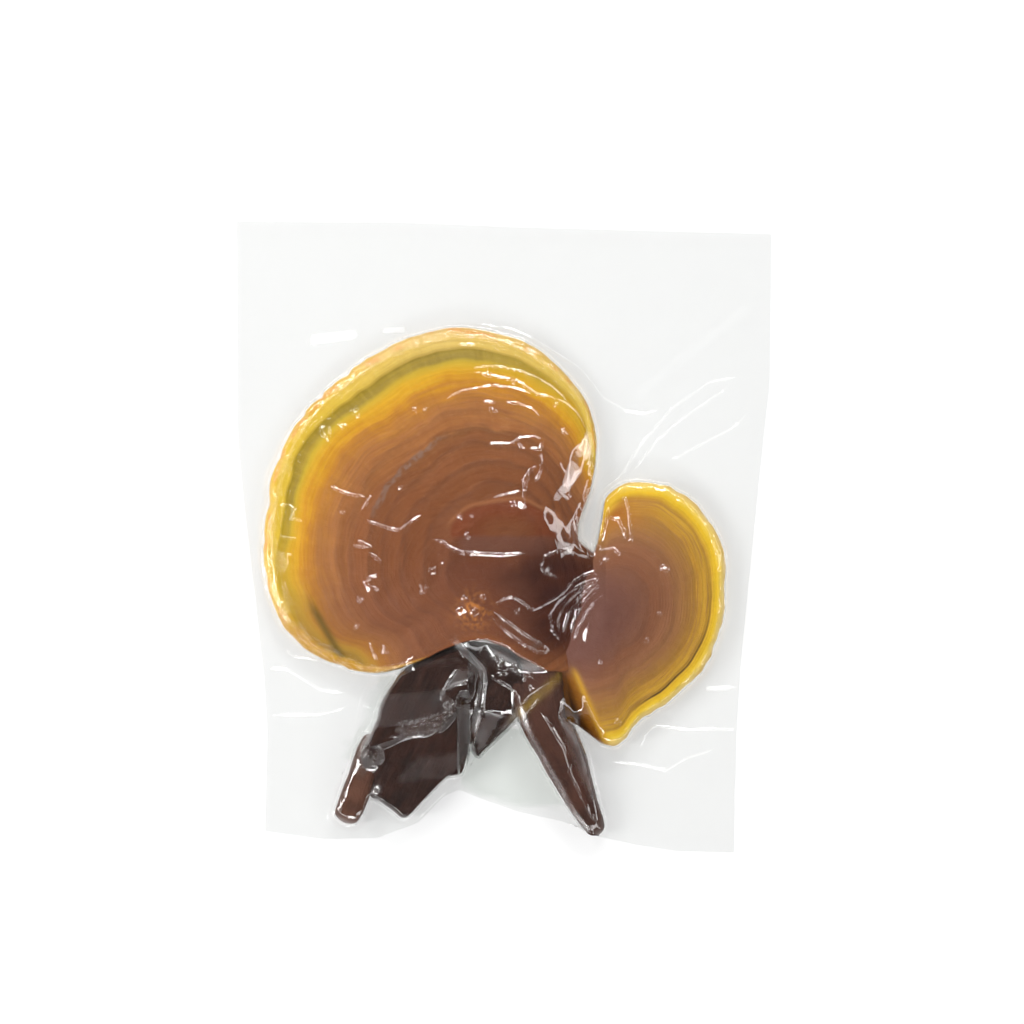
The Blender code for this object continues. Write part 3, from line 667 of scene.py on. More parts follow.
def bark_material(name, dark, light, red):
    """Bark: streaks along the grain, worn paler on the ridges, with a dull shine, and a painted amber
    reflection under the film strap.
    """
    made, tree = fresh_material(name)
    lengthwise = {"Vector": read(tree, "grain", "Vector"), "Scale": (0.5, 0.5, 0.07)}
    place = add(tree, "Mapping", lengthwise).outputs[0]
    noise = add(tree, "TexNoise", {"Vector": place, "Scale": 1.0, "Detail": 5.0, "Roughness": 0.65})
    streak = remap(tree, noise.outputs["Fac"], 0.35, 0.65)
    patches = use(tree, MOTTLE, Size=9.0, Seed=5.0)[0]
    specks = use(tree, MOTTLE, Size=1.2, Seed=6.0)[0]
    colour = blend(tree, streak, (*dark, 1), (*light, 1))
    # Painted amber reflection of the small cap's folded face, where the film strap lies over the bark
    amber = blend(tree, streak, (0.18, 0.11, 0.015, 1), (0.3, 0.19, 0.02, 1))
    colour = blend(tree, read(tree, "amber"), colour, amber)
    colour = blend(tree, times(tree, patches, 0.5), colour, (*red, 1))
    colour = blend(tree, times(tree, specks, 0.25), colour, (0.6, 0.6, 0.6, 1), "MULTIPLY")
    relief = plus(tree, streak, times(tree, specks, 0.5))
    bump = add(tree, "Bump", {"Height": relief, "Strength": 0.6, "Distance": 0.0003})
    rough = plus(tree, 0.4, times(tree, specks, 0.2))
    sockets = {"Base Color": colour, "Roughness": rough, "Specular IOR Level": 0.1, "Normal": bump.outputs[0],
               "IOR": 1.45}
    surface = add(tree, "BsdfPrincipled", sockets)
    add(tree, "OutputMaterial", {"Surface": surface.outputs[0]})
    return made


def amber_film_reflection(x, y):
    """Where the strap of film from the small cap's crease carries the amber face's colour over the stems: a
    painted amber reflection on the bark.
    """
    return 0.85 * np.exp(-(((y + 49.6 - 0.9 * (x - 23.3)) / 2.2) ** 2)) * smooth(0, 9, x)


main_mesh, angle, t, turn = flat_body("MainStem", 420, 170, 26, 20, 0.94)
reach = edge_reach(MAIN_STEM, MAIN_STEM_CENTRE, angle)
x = MAIN_STEM_CENTRE[0] + reach * t * np.cos(angle)
y = MAIN_STEM_CENTRE[1] + reach * t * np.sin(angle)
high = np.maximum(main_stem_top(x, y), REST_HEIGHT + 1.5)
rounded = (REST_HEIGHT + high) / 2 + (high - REST_HEIGHT) / 2 * np.cos(turn)
put(main_mesh, x, y, np.where(turn <= 0, high, rounded))
heading = np.radians(-118)
along, across = x * np.cos(heading) + y * np.sin(heading), y * np.cos(heading) - x * np.sin(heading)
mark(main_mesh, "grain", np.stack((across, np.where(turn > 0, high, 0), along), axis=1))
mark(main_mesh, "amber", amber_film_reflection(x, y))
main_stem = bpy.data.objects.new("MainStem", main_mesh)
bpy.context.scene.collection.objects.link(main_stem)
main_stem.data.materials.append(
    bark_material("DarkBark", (0.009, 0.0035, 0.0025), (0.028, 0.011, 0.007), (0.03, 0.008, 0.004)))
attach(main_stem, "root")
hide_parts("main_stem")

# --- Spur and side stem ---
# A thin reddish offshoot that leaves the main stem at the knot, and the long tapering stem of
# the small cap. Both have smoother, redder bark than the main stem.

STEM_SPUR = (
    (-47.5, -74, 4, 9), (-50.6, -81, 4.8, 11.5), (-52.8, -88, 4.9, 11), (-54.6, -94, 5.2, 10),
    (-56.8, -100, 5.2, 9), (-58.6, -104, 4.8, 8), (-59.8, -106.8, 3.8, 6),
)
SIDE_STEM = (
    (7, -42, 8, 8), (11.5, -51, 10.4, 10), (13.2, -61, 9.4, 13.5), (14.9, -70, 8.2, 14.5),
    (20, -77.5, 8.5, 14), (23.5, -85, 8.2, 13.2), (26.6, -92.5, 6.9, 12), (29.8, -100, 5.6, 10.5),
    (32.9, -106, 4.5, 8.5), (35.2, -111.4, 3, 6),
)
# The line of the side stem's raised seam
SIDE_STEM_SEAM = (
    (12.7, -63.3), (15.3, -66.4), (16.8, -69.2), (19.6, -74), (22.5, -79.3), (24.7, -84.1), (24.2, -86),
    (25.4, -87.9), (27.3, -91.2), (30.2, -96), (31.1, -100.3), (33, -104.2), (34.9, -107.5), (36.6, -109.4),
)


def side_stem_top(x, y, z):
    """A narrow raised seam that runs down the side stem."""
    seam_x = np.interp(-y, [-place[1] for place in SIDE_STEM_SEAM], [place[0] for place in SIDE_STEM_SEAM])
    return z + 0.3 * np.exp(-(((x - seam_x) / 1.0) ** 2)) * smooth(-60, -66, y)


pale_bark = bark_material("SpurBark", (0.045, 0.018, 0.01), (0.10, 0.042, 0.026), (0.12, 0.05, 0.03))
red_bark = bark_material("ReddishBark", (0.03, 0.011, 0.007), (0.062, 0.025, 0.016), (0.078, 0.03, 0.02))
for name, rows, node, bark, seed, relief in (
    ("StemSpur", STEM_SPUR, "stem_spur", pale_bark, 81, None),
    ("SideStem", SIDE_STEM, "side_stem", red_bark, 91, side_stem_top),
):
    piece = bpy.data.objects.new(name, stem_mesh(name, rows, seed, relief))
    bpy.context.scene.collection.objects.link(piece)
    spots = spots_of(piece.data) / MM
    mark(piece.data, "amber", amber_film_reflection(spots[:, 0], spots[:, 1]))
    piece.data.materials.append(bark)
    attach(piece, "root")
    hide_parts(node)

# --- Vacuum bag ---
# Two clear plastic films sealed together. The air is pumped out, so they cling to the mushroom and
# to each other, and the spare film gathers in creases, pleats and small puckers.

TOP_EDGE = ((-100, 118), (-40, 117.8), (2, 116), (100, 113.3))
BOTTOM_EDGE = (
    (-89.4, -110), (-67.7, -113), (-47.4, -112.5), (-31.9, -106.7), (-22.5, -97), (-17, -94.5),
    (-7, -98.5), (5.3, -102.8), (22.5, -106.5), (36, -112), (49, -115), (64.5, -117.4), (86, -118),
)
LEFT_EDGE = ((-89.4, -110), (-88.5, -72), (-89.6, -53), (-93, -23.6), (-97, 10.7), (-99.5, 37), (-100, 118))
RIGHT_EDGE = ((86, -118), (87, -72), (88.5, -48.4), (95.6, 23.3), (99.4, 57.4), (100, 113.3))
FILM = 0.1
# How tightly the film bends in over the mushroom and beside it, per mm
SUCTION_INSIDE, SUCTION_OUTSIDE = 0.07, 9.0
CLEARANCE = 0.2  # between the film and the skin under it


def bag_grid(columns, rows):
    """Points of the flat bag, spread evenly between its four edges."""
    across, along = np.meshgrid(np.linspace(0, 1, columns), np.linspace(0, 1, rows))

    def edge(points, share):
        points = np.array(points, float)
        run = np.concatenate(([0], np.cumsum(np.hypot(*np.diff(points, axis=0).T))))
        return np.stack([np.interp(share * run[-1], run, column) for column in points.T])

    def corner(points, index):
        return np.array(points[index], float).reshape(2, 1, 1)

    sides = (1 - across) * edge(LEFT_EDGE, along) + across * edge(RIGHT_EDGE, along)
    ends = (1 - along) * edge(BOTTOM_EDGE, across) + along * edge(TOP_EDGE, across)
    low_corners = (1 - across) * corner(BOTTOM_EDGE, 0) + across * corner(BOTTOM_EDGE, -1)
    high_corners = (1 - across) * corner(TOP_EDGE, 0) + across * corner(TOP_EDGE, -1)
    x, y = sides + ends - (1 - along) * low_corners - along * high_corners
    to_edge = 2 * np.minimum(np.minimum(across, 1 - across), np.minimum(along, 1 - along))
    return x, y, to_edge


def seam_height(x, y, to_edge):
    """The height where the two films meet: low and in gentle waves, and higher at the bag's edge."""
    waves = 0.45 * np.sin(x / 19 + 0.6) * np.cos(y / 26) + 0.3 * np.sin((x + y) / 13)
    return 1.8 + waves + 1.6 * smooth(0.3, 0, to_edge)


def seen_from(side, pieces, x, y):
    """The mushroom's height over each point, seen from above (1) or below (-1), and NaN beside it."""
    bpy.context.view_layer.update()
    graph = bpy.context.evaluated_depsgraph_get()
    heights = np.full(x.shape, np.nan)
    start, heading = 0.1 * side, Vector((0, 0, -side))
    for piece in pieces:
        tree = BVHTree.FromObject(piece, graph)
        spots = spots_of(piece.data) / MM
        low, high = spots.min(axis=0), spots.max(axis=0)
        near = (x > low[0]) & (x < high[0]) & (y > low[1]) & (y < high[1])
        pick = np.fmax if side > 0 else np.fmin
        found = [tree.ray_cast(Vector((a * MM, b * MM, start)), heading)[0] for a, b in zip(x[near], y[near])]
        found = np.array([math.nan if spot is None else spot.z / MM for spot in found])
        heights[near] = pick(heights[near], found)
    return heights


def widened(values, pick):
    """Each value, or the highest or lowest of its eight neighbours."""
    padded = np.pad(values, 1, mode="edge")
    rows, columns = values.shape
    around = [padded[i : i + rows, j : j + columns] for i in range(3) for j in range(3)]
    return pick(np.stack(around), axis=0)


def beside_sum(values):
    """The sum of each value's four neighbours."""
    padded = np.pad(values, 1, mode="edge")
    return padded[:-2, 1:-1] + padded[2:, 1:-1] + padded[1:-1, :-2] + padded[1:-1, 2:]


def softened(values, times):
    for _ in range(times):
        values = (beside_sum(values) + 4 * values) / 8
    return values


def settled(height, low, high, pull, steps):
    """A stretched film, pulled up or down until it meets low or high."""
    held = height.copy()
    for _ in range(steps):
        held[1:-1, 1:-1] = np.clip(beside_sum(held) / 4 + pull, low, high)[1:-1, 1:-1]
    return held


def finer(values, rows, columns):
    """The values spread over a finer grid."""
    down = np.linspace(0, values.shape[0] - 1, rows)
    right = np.linspace(0, values.shape[1] - 1, columns)
    tall = np.stack([np.interp(down, np.arange(values.shape[0]), column) for column in values.T], axis=1)
    return np.stack([np.interp(right, np.arange(values.shape[1]), row) for row in tall])


def distance_to(x, y, route):
    """How far each point is from the line through the route, its share of the way along it, and which way."""
    route = np.array(route, float)
    spans = np.hypot(*np.diff(route, axis=0).T)
    nearest = np.full(x.shape, 1e9)
    share, way_x, way_y = np.zeros((3, *x.shape))
    for start, finish, before, length in zip(route, route[1:], np.cumsum(spans) - spans, spans):
        step = (finish - start) / length
        on = np.clip((x - start[0]) * step[0] + (y - start[1]) * step[1], 0, length)
        off_x, off_y = x - start[0] - on * step[0], y - start[1] - on * step[1]
        away = np.hypot(off_x, off_y)
        closer = away < nearest
        nearest = np.where(closer, away, nearest)
        share = np.where(closer, (before + on) / spans.sum(), share)
        way_x = np.where(closer, off_x / (away + 1e-6), way_x)
        way_y = np.where(closer, off_y / (away + 1e-6), way_y)
    return nearest, share, way_x, way_y


# The slope of a crease's two sides in the finished film, and the most that one side may be across
CREASE_SIDE, CREASE_REACH = 0.5, 0.9


def crease(x, y, lean_x, lean_y, route, height):
    """A narrow raised crease of the film along the route, fading out at both ends, on film that leans so."""
    route = np.array(route, float)
    reach = 6 * height
    near = (x > route[:, 0].min() - reach) & (x < route[:, 0].max() + reach)
    near &= (y > route[:, 1].min() - reach) & (y < route[:, 1].max() + reach)
    rise = np.zeros(x.shape)
    away, share, way_x, way_y = distance_to(x[near], y[near], route)
    slant = lean_x[near] * way_x + lean_y[near] * way_y
    side = np.clip(CREASE_SIDE + slant, 0.15, 1.1)
    crest = np.minimum(height, CREASE_REACH * np.clip(CREASE_SIDE - np.abs(slant), 0.15, 1.1))
    rise[near] = np.maximum(crest * smooth(0, 0.12, share) * smooth(1, 0.88, share) - side * away, 0)
    return rise


def panel(x, y, corners):
    """1 inside a panel with these corners, listed clockwise, and soft at its edge."""
    depth = np.full(x.shape, 1e9)
    for (a, b), (c, d) in zip(corners, corners[1:] + corners[:1]):
        depth = np.minimum(depth, ((x - a) * (d - b) - (y - b) * (c - a)) / math.hypot(c - a, d - b))
    return smooth(-0.3, 0.4, depth)


# The film is creased over the lip of each cap, all round its far side
rim = closed_curve(LARGE_MARGIN + LARGE_NECK, 4)[: 4 * len(LARGE_MARGIN)]
LIP_CREASE = LARGE_CENTRE + 0.962 * (rim - LARGE_CENTRE)
small_rim = closed_curve(SMALL_MARGIN + SMALL_NECK, 4)[16 : 4 * len(SMALL_MARGIN) - 8]
SMALL_LIP_CREASE = SMALL_CENTRE + 0.945 * (small_rim - SMALL_CENTRE)
# Creases in the film over the mushroom, each set with its height: the fan of spare film between
# the two caps, the strap over the stems, and thin tight folds
CREASES = (
    (0.3, (
        ((-5.6, -25.9), (-3.4, -25.1), (-1.1, -23.2), (1.5, -22.1), (3.8, -22.1), (6, -23.6),
         (9, -25.9), (10.9, -26.6), (15.4, -24.4), (20.2, -21.8), (24.8, -16.9), (29.6, -13.9),
         (33, -13.1), (36.4, -16.5)),
        ((36.4, -15), (29.6, -16.9), (24, -19.9), (19.5, -24), (16.6, -28.5), (17.6, -33.8),
         (21.4, -39.8)),
        ((36.3, -15.5), (30.4, -18), (25.4, -21.6), (21.4, -26), (19.6, -30.6), (20.6, -35.8)),
        ((36.4, -16), (31.4, -19), (27, -23.2), (23.6, -28.2), (22.2, -33.6), (22.6, -37)),
        ((36.6, -16.4), (32.4, -20.6), (28.8, -25.2), (26, -30.4), (24.8, -36.4)),
        ((38.6, -20.6), (34.5, -23.6), (31.9, -26.6), (28.1, -32.6), (25.9, -39)),
        ((23.8, -4.7), (18.8, -5.4), (14.8, -7.2), (13.2, -10.3), (14.8, -13.1), (18.2, -14.4),
         (20.4, -15.9)),
        ((-5.8, -26.8), (-3, -27.7), (3.3, -32.7), (9.5, -37.1), (15.1, -40.5), (16, -41.7),
         (15.1, -42.7), (12, -42.3), (6.4, -39.2), (0.8, -34.9), (-3, -30.9), (-5.6, -27.4)),
        LIP_CREASE, SMALL_LIP_CREASE,
    )),
    (0.5, (
        ((-26.4, -0.4), (-21.6, -2.1), (-18.8, -4.2), (-15, -5.7), (-1.5, -6.4), (9, -6)),
        ((34, -19.8), (33.4, -20.6), (27.2, -25.9), (26.6, -31)),
        ((-13.4, 61.8), (-10.7, 62.8), (-7.2, 63.3), (-1.1, 63.2), (6.5, 61.4), (13, 58.8), (18, 55.5),
         (21.8, 52.1), (24.5, 49)),
        ((-13.4, 61.6), (-7.6, 60.7), (2.7, 58.6), (6.5, 57), (12.3, 53), (16.1, 52.3), (20.7, 50.5),
         (23.8, 49), (26.8, 46.3), (29.5, 41.7), (32.2, 37.1)),
        ((-6.9, 34.5), (2.7, 34.6), (5.8, 36.6), (10.7, 37.3), (15, 35.8)),
    )),
    (0.34, (
        ((12.8, -63.2), (16.4, -68.6), (22.1, -77.9), (24.3, -84.4), (24.3, -87.2), (29.6, -97.3),
         (31.4, -102.3), (36.5, -108.8)),
        ((34, -2.6), (36.9, -5), (40.5, -4.3), (43.6, -7)),
        ((43.1, 15), (45.3, 14.3), (46.5, 10.1), (46.9, 4.5), (47.4, -1.1), (45.8, -2.4)),
        ((38.6, 9.8), (39.3, 7), (42.5, 6.6), (43.7, 4), (45, 1.5), (44.7, -1.3)),
        ((-22.6, 50.7), (-15.3, 54.2), (-10.7, 55.1), (-4.9, 56.1), (2.7, 55.5), (11.8, 52.7)),
        ((-7.6, 50.3), (-3, 50.1)), ((-0.4, 50.1), (5, 49.6), (10.4, 47.5), (13.4, 44)),
        ((13, 31.8), (13.8, 27.9), (13.4, 24.5), (11.5, 20.3)),
        ((12.3, 27), (9.2, 24.1), (7.3, 21.1), (7.5, 16.9)), ((5, 35.2), (6.5, 32.9), (7.9, 32.7)),
        ((9.6, 32.9), (13.4, 32.5), (14.2, 35.6)), ((21.5, 40.2), (23.4, 37.5)),
        ((7.2, 12.1), (7.4, 17), (8.6, 20.6)), ((-4, 14.4), (1, 15.6), (6.6, 17)),
        ((20.5, 28.3), (21.2, 25.6), (22.8, 23.5)),
        ((-64.7, 19), (-60.8, 17.3), (-57.5, 16.1), (-51.5, 14.7)),
        ((-48.9, 15.6), (-50.8, 12.8), (-52.7, 10.1)),
        ((-52, 6.8), (-48.4, 5.4), (-41.2, 3), (-38.4, 2.5), (-36, 4.2), (-33.1, 6.5), (-29.8, 8.9)),
        ((-54.6, -0.6), (-52.2, -2.1), (-49.6, -3.3), (-52.7, -3.7), (-56.5, -2.8)),
        ((-50.6, -5.6), (-47.5, -7.1), (-45.3, -9.7)),
        ((-46, -13.8), (-48.9, -14.7), (-51.5, -16.7), (-49.4, -18.3), (-45.3, -19.8)),
        ((-49.6, -38.9), (-48.4, -42.7), (-47, -46.1)),
        ((-84.8, 13.7), (-86.2, 9.4), (-86, 4.6), (-86.2, -0.1), (-84.3, -3)),
        ((-83.8, 12), (-80, 11.8), (-77.6, 9.9), (-79, 7), (-74.7, 5.8)), ((-83.8, 0.3), (-77.1, -0.9)),
        ((-83.8, -6.1), (-78.5, -6.8)),
        ((-84.8, -19.8), (-82.4, -24.5), (-80, -30.3), (-77.1, -34.6), (-73.3, -38.4), (-66.6, -42.7)),
        ((-46.5, 67), (-41, 70.8), (-33.3, 75)), ((-32.7, 73.3), (-26.1, 74.9), (-21.2, 75.5)),
        ((-19, 75.5), (-15.7, 76.6), (-11.3, 76.9)), ((-15.7, 75.2), (-5.8, 74.9)),
        ((-17.3, 71.9), (-10.2, 71.9)),
    )),
    (0.2, (
        ((27.4, 2.4), (30.6, 4.5), (33.6, 1.4), (36.9, 0.3)),
        ((31.6, 14.5), (34.3, 15.6), (36.9, 18.2)), ((31, 2), (32.5, -1), (34.5, 0.5)),
        ((33.5, 9), (36, 7), (35, 3)), ((2, -73), (-1, -79), (-3, -86)),
    )),
    (0.42, (
        ((-17.9, -40.1), (-13.2, -46.4), (-9.5, -51.1), (-9, -54.8), (-10.6, -65.3), (-12.2, -74.8)),
        ((-14.3, -40.6), (-10.6, -45.9), (-7.4, -49), (-6.9, -53.8), (-7.9, -62.7), (-10.1, -71.1),
         (-11.4, -75.9), (-10.6, -80.1), (-9.8, -82.2)),
        ((-16.9, -48.5), (-19.5, -52.2), (-22.2, -56.9), (-23.5, -61.1)),
        ((-9, -52.2), (-14.3, -53.8), (-18.5, -54.8), (-21.6, -57.4)),
        ((-13.7, -55.3), (-13.2, -62.7), (-11.9, -66.9), (-12.2, -71.1)),
        ((-17.2, -61.9), (-16.9, -68), (-17.2, -75.9), (-17.2, -78.5)),
        ((18.8, -52.9), (14.6, -55.9), (10.1, -58.9), (6, -63.4), (1.5, -69.4), (-2.6, -74.2),
         (-6.4, -79.1), (-9.8, -82.5), (-13.5, -86.6), (-16.5, -89.2)),
        ((14, -58.9), (8.6, -65.9), (5.8, -71.6), (2, -76)),
        ((-5.3, -51.3), (1, -55.1), (4.3, -57.8), (6.7, -60.9)),
        ((-5.3, -64.5), (-2.9, -65.9), (-0.5, -66.6)),
    )),
    (0.6, (
        ((-39.5, -50.6), (-43.2, -55.3), (-45.8, -60.6), (-47.9, -67.4), (-51.6, -73.2), (-54.3, -78.5),
         (-56.6, -82.2)),
        ((-42.2, -50.1), (-45.8, -54.3), (-51.6, -56.4), (-53.2, -60.6), (-54.8, -68), (-55.8, -75.9),
         (-57.2, -82.2)),
        ((-53.2, -63.2), (-47.9, -63.8)),
        ((-56.9, -82.2), (-61.1, -91.7), (-64.3, -101.1), (-66.4, -106.4)),
        ((-11.6, -74.8), (-13.2, -81.1), (-13.3, -88), (-17.5, -91.6), (-22.7, -95.8), (-29, -102.1),
         (-34.8, -106.9)),
    )),
)
# Thin creases in the loose film beside the mushroom
LOOSE_HEIGHT = 0.28
LOOSE_CREASES = (
    ((-14.6, 80.4), (2.3, 78), (9.8, 74.8), (19.1, 69.2), (28.5, 63), (36.9, 52.3), (45.4, 47.3),
     (52.9, 46.1), (63.2, 48.6)),
    ((32.3, 13.9), (43.5, 22.3), (51, 34.5), (63.2, 48.6), (77.3, 57.9), (92.3, 60.8)),
    ((47.3, 23.3), (56.6, 35.4), (66, 43.9), (77.3, 51.4), (86.6, 57.9)),
    ((60.4, 27.9), (75.4, 35.4), (84.8, 40.1), (94.1, 48.6)),
    ((-89.6, -48.9), (-81.2, -49.5), (-74.6, -53.6), (-68, -57.4), (-59.6, -58.3)),
    ((-87.8, -66.4), (-70, -66.4), (-58.7, -64)), ((-82.1, -42), (-78.4, -44.6), (-67.1, -46.1)),
    ((51, -80.8), (52.5, -74.3), (56.6, -70.5), (64.1, -71.6), (89.4, -72)),
    ((38.8, -83.6), (52.9, -85.5), (60.4, -87.4), (67.9, -82.7), (81, -78.6)),
    ((75.4, -56.4), (87.6, -56.1)),
)
# Small star-shaped puckers, where air was drawn out: place and size
PUCKERS = (
    (-66.3, 38.2, 4), (-59.9, 41.4, 2), (-55.5, 46.4, 3), (-38.3, 18.4, 1.6), (8.3, 21.4, 1.6),
    (24, 15.8, 1.4), (59.6, -11.6, 2.4), (52.9, -38.6, 1.6), (57.6, -29, 1.2), (37, -8.5, 2),
    (-33, 47.2, 1.3), (-29.2, 47.7, 0.8), (22, 39, 1.3), (-5.8, 60.4, 2.2), (3.4, 58.4, 2.2),
    (18.8, 50.4, 2.2), (-4.1, 47.2, 2), (-59.7, 9.5, 1.1), (-26.4, -12.4, 1.9), (-29.6, -19, 2.4),
    (-53, -23.4, 1.8), (-54.9, -33.4, 1.5), (-44.5, -41.3, 2.4), (-16, 7.4, 1.6), (3.8, 12, 2),
    (-13.6, 0.6, 1.6), (-16.2, -27.4, 1.6), (-48.2, -95, 2.4), (4.4, -27, 2), (-11.6, -27.4, 2.4),
    (-2, -46, 3), (4, -49, 3), (9, -52, 2.4), (-14.8, -22.4, 1.4), (-8, -22.2, 1.6), (29.4, -24.6, 1.6),
    (-0.4, -50, 2.6), (10.1, -56.3, 1.2), (-21.4, -62, 1.8), (-30.6, -69.6, 1.4), (-49.3, -80.8, 3.2),
    (-88, 12.4, 1), (42.5, -68.6, 1.8), (36, -46.6, 1),
)

mushroom = [large_cap, small_cap, main_stem] + [bpy.data.objects[name] for name in ("StemSpur", "SideStem")]
# The film settles on a coarse grid and then on a fine one: points across and along, and the cell's size
COARSE, COARSE_CELL = (81, 95), 2.5
FINE, FINE_CELL = (640, 740), 0.31
FAR_OFF = 100.0  # stands for no limit
STEM_SUCTION = 1.3  # how much tighter the film bends in over the stems, per mm
NEAREST = 0.06  # the least distance from the front film's inner face to what lies under it
x, y, to_edge = bag_grid(*FINE)
top_seen = seen_from(1, mushroom, x, y)
over = widened(np.nan_to_num(top_seen, nan=-FAR_OFF), np.max)
down, right = (np.rint(np.linspace(0, size - 1, count)).astype(int) for size, count in
               ((FINE[1], COARSE[1]), (FINE[0], COARSE[0])))
coarse = np.ix_(down, right)
seam = seam_height(x, y, to_edge)
beside = softened(np.isnan(top_seen).astype(float), 6)
inside = smooth(0.9, 0.4, beside)
# It spans from the mushroom down to the seam, and then fits tightly over the skin
bound = np.maximum(over + CLEARANCE, seam)[coarse]
sag = -(0.3 - 0.24 * inside[coarse])
front = settled(bound, bound, np.full(bound.shape, FAR_OFF), sag * COARSE_CELL**2 / 4, 400)
bound = np.maximum(over + CLEARANCE, seam + NEAREST)
bound = np.where(over > 0, np.maximum(softened(bound, 4), bound - 0.1), bound)
front = np.maximum(finer(front, FINE[1], FINE[0]), bound)
on_stems = smooth(-50, -54, y) * smooth(22, 18, x)
pull = SUCTION_OUTSIDE + (SUCTION_INSIDE + STEM_SUCTION * on_stems - SUCTION_OUTSIDE) * inside
front = settled(front, bound, np.full(bound.shape, FAR_OFF), -pull * FINE_CELL**2 / 4, 600)
front = softened(front, 45) * inside + front * (1 - inside) + 0.035 * ripples(x, y, 5, 79) * inside
front = np.maximum(front, over + NEAREST)
# How the film leans, so that the sides of every crease reach the same slope
calm = softened(front, 8)
lean_x = np.gradient(calm, axis=1) / np.gradient(x, axis=1)
lean_y = np.gradient(calm, axis=0) / np.gradient(y, axis=0)
folds = np.zeros(x.shape)
for height, routes in CREASES:
    for route in routes:
        folds = np.maximum(folds, crease(x, y, lean_x, lean_y, route, height))
loose = np.zeros(x.shape)
for route in LOOSE_CREASES:
    loose = np.maximum(loose, crease(x, y, lean_x, lean_y, route, LOOSE_HEIGHT))
folds = np.maximum(folds, loose)
draw = np.random.default_rng(5)
for place_x, place_y, size in PUCKERS:
    for _ in range(5):
        heading, bend = draw.uniform(0, math.pi), draw.uniform(-0.6, 0.6)
        middle = np.array((place_x, place_y)) + draw.uniform(-0.5, 0.5, 2) * size
        half = 0.5 * size * draw.uniform(0.6, 1.2) * np.array((math.cos(heading), math.sin(heading)))
        turned = 0.5 * size * np.array((math.cos(heading + bend), math.sin(heading + bend)))
        route, height = (middle - half, middle, middle + turned), draw.uniform(0.2, 0.42)
        folds = np.maximum(folds, crease(x, y, lean_x, lean_y, route, height))
# The film is crumpled on the torn ridge and on the knot
torn = np.interp(x, *zip(*TORN_EDGE)) - y
crumpled = smooth(-6, -4.5, torn) * smooth(0.5, -0.5, torn) * smooth(-45, -38, x) * smooth(-17.4, -19, x)
crumpled = np.maximum(crumpled, hill(x, y, (-49.3, -80.8), (3.8, 3.8)))
folds = np.maximum(folds, crumpled * (0.3 + 0.22 * ripples(x, y, 1.9, 78)))
front = front + folds * smooth(0, 0.02, to_edge)


# A film's first mark says how folded it is: from KEPT_FINE on it keeps its detail, and from CRISP on it
# is shaded crisply
KEPT_FINE, CRISP = 0.04, 0.06


def film_piece(name, x, y, z, share, node, values=()):
    """A sheet through the points, thinned where it is plain, with values for its material."""
    rows, columns = x.shape
    shape = bmesh.new()
    bmesh.ops.create_grid(shape, x_segments=columns - 1, y_segments=rows - 1, size=1)
    mesh = mesh_of(shape, name)
    spots = spots_of(mesh)
    column = np.rint((spots[:, 0] + 1) / 2 * (columns - 1)).astype(int)
    row = np.rint((spots[:, 1] + 1) / 2 * (rows - 1)).astype(int)
    put(mesh, x[row, column], y[row, column], z[row, column])
    for label, value in values:
        mark(mesh, label, value[row, column])
    piece = bpy.data.objects.new(name, mesh)
    bpy.context.scene.collection.objects.link(piece)
    thin = piece.modifiers.new("Thinned", "DECIMATE")
    thin.ratio = share
    if values:
        plain = piece.vertex_groups.new(name="Plain")
        for level, chosen in enumerate((values[0][1] < KEPT_FINE, values[0][1] >= KEPT_FINE)):
            plain.add(np.flatnonzero(chosen[row, column]).tolist(), 1.0 - 0.9 * level, "REPLACE")
        thin.vertex_group = "Plain"
    bpy.context.view_layer.update()
    thinned = bpy.data.meshes.new_from_object(piece.evaluated_get(bpy.context.evaluated_depsgraph_get()))
    piece.modifiers.clear()
    piece.vertex_groups.clear()
    piece.data = thinned
    if values:
        # Tight folds stay crisp
        fold = np.empty(len(thinned.vertices), np.float32)
        thinned.attributes[values[0][0]].data.foreach_get("value", fold)
        corners = np.empty(len(thinned.loops), np.int32)
        thinned.loops.foreach_get("vertex_index", corners)
        starts = np.empty(len(thinned.polygons), np.int32)
        thinned.polygons.foreach_get("loop_start", starts)
        thinned.polygons.foreach_set("use_smooth", np.maximum.reduceat(fold[corners], starts) < CRISP)
    wall = piece.modifiers.new("Film", "SOLIDIFY")
    wall.thickness = FILM * MM
    wall.offset = 1
    wall.material_offset_rim = 1
    piece.modifiers.new("EvenShading", "WEIGHTED_NORMAL").keep_sharp = True
    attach(piece, "root")
    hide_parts(node)
    return piece


def film_material():
    """Clear film: glass-like, a little dull where it is creased, and painted greyer in the stems' shade.
    Lamps shine straight through it.
    """
    made, tree = fresh_material("ClearFilm")
    sockets = {"IOR": 1.52, "Transmission Weight": 1.0}
    place = add(tree, "TexCoord").outputs["Object"]
    wrinkles = add(tree, "TexNoise", {"Vector": place, "Scale": 1300.0, "Detail": 2.0})
    height = times(tree, wrinkles.outputs["Fac"], read(tree, "wrinkled"))
    # Painted shade: the film is greyer where the stems' shade falls
    sockets["Base Color"] = blend(tree, read(tree, "shade_greyed"), (0.996, 0.998, 0.995, 1), (0.84, 0.87, 0.84, 1))
    sockets["Normal"] = add(tree, "Bump", {"Height": height, "Strength": 1.0, "Distance": 0.0006}).outputs[0]
    sockets["Roughness"] = plus(tree, 0.035, times(tree, read(tree, "dull"), 0.4))
    surface = add(tree, "BsdfPrincipled", sockets)
    clear = add(tree, "BsdfTransparent", {"Color": (0.995, 0.997, 0.995, 1)})
    path = add(tree, "LightPath")
    shadow = maths(tree, "MAXIMUM", path.outputs["Is Shadow Ray"], path.outputs["Is Diffuse Ray"])
    mixed = add(tree, "MixShader", {0: shadow, 1: surface.outputs[0], 2: clear.outputs[0]})
    add(tree, "OutputMaterial", {"Surface": mixed.outputs[0]})
    return made


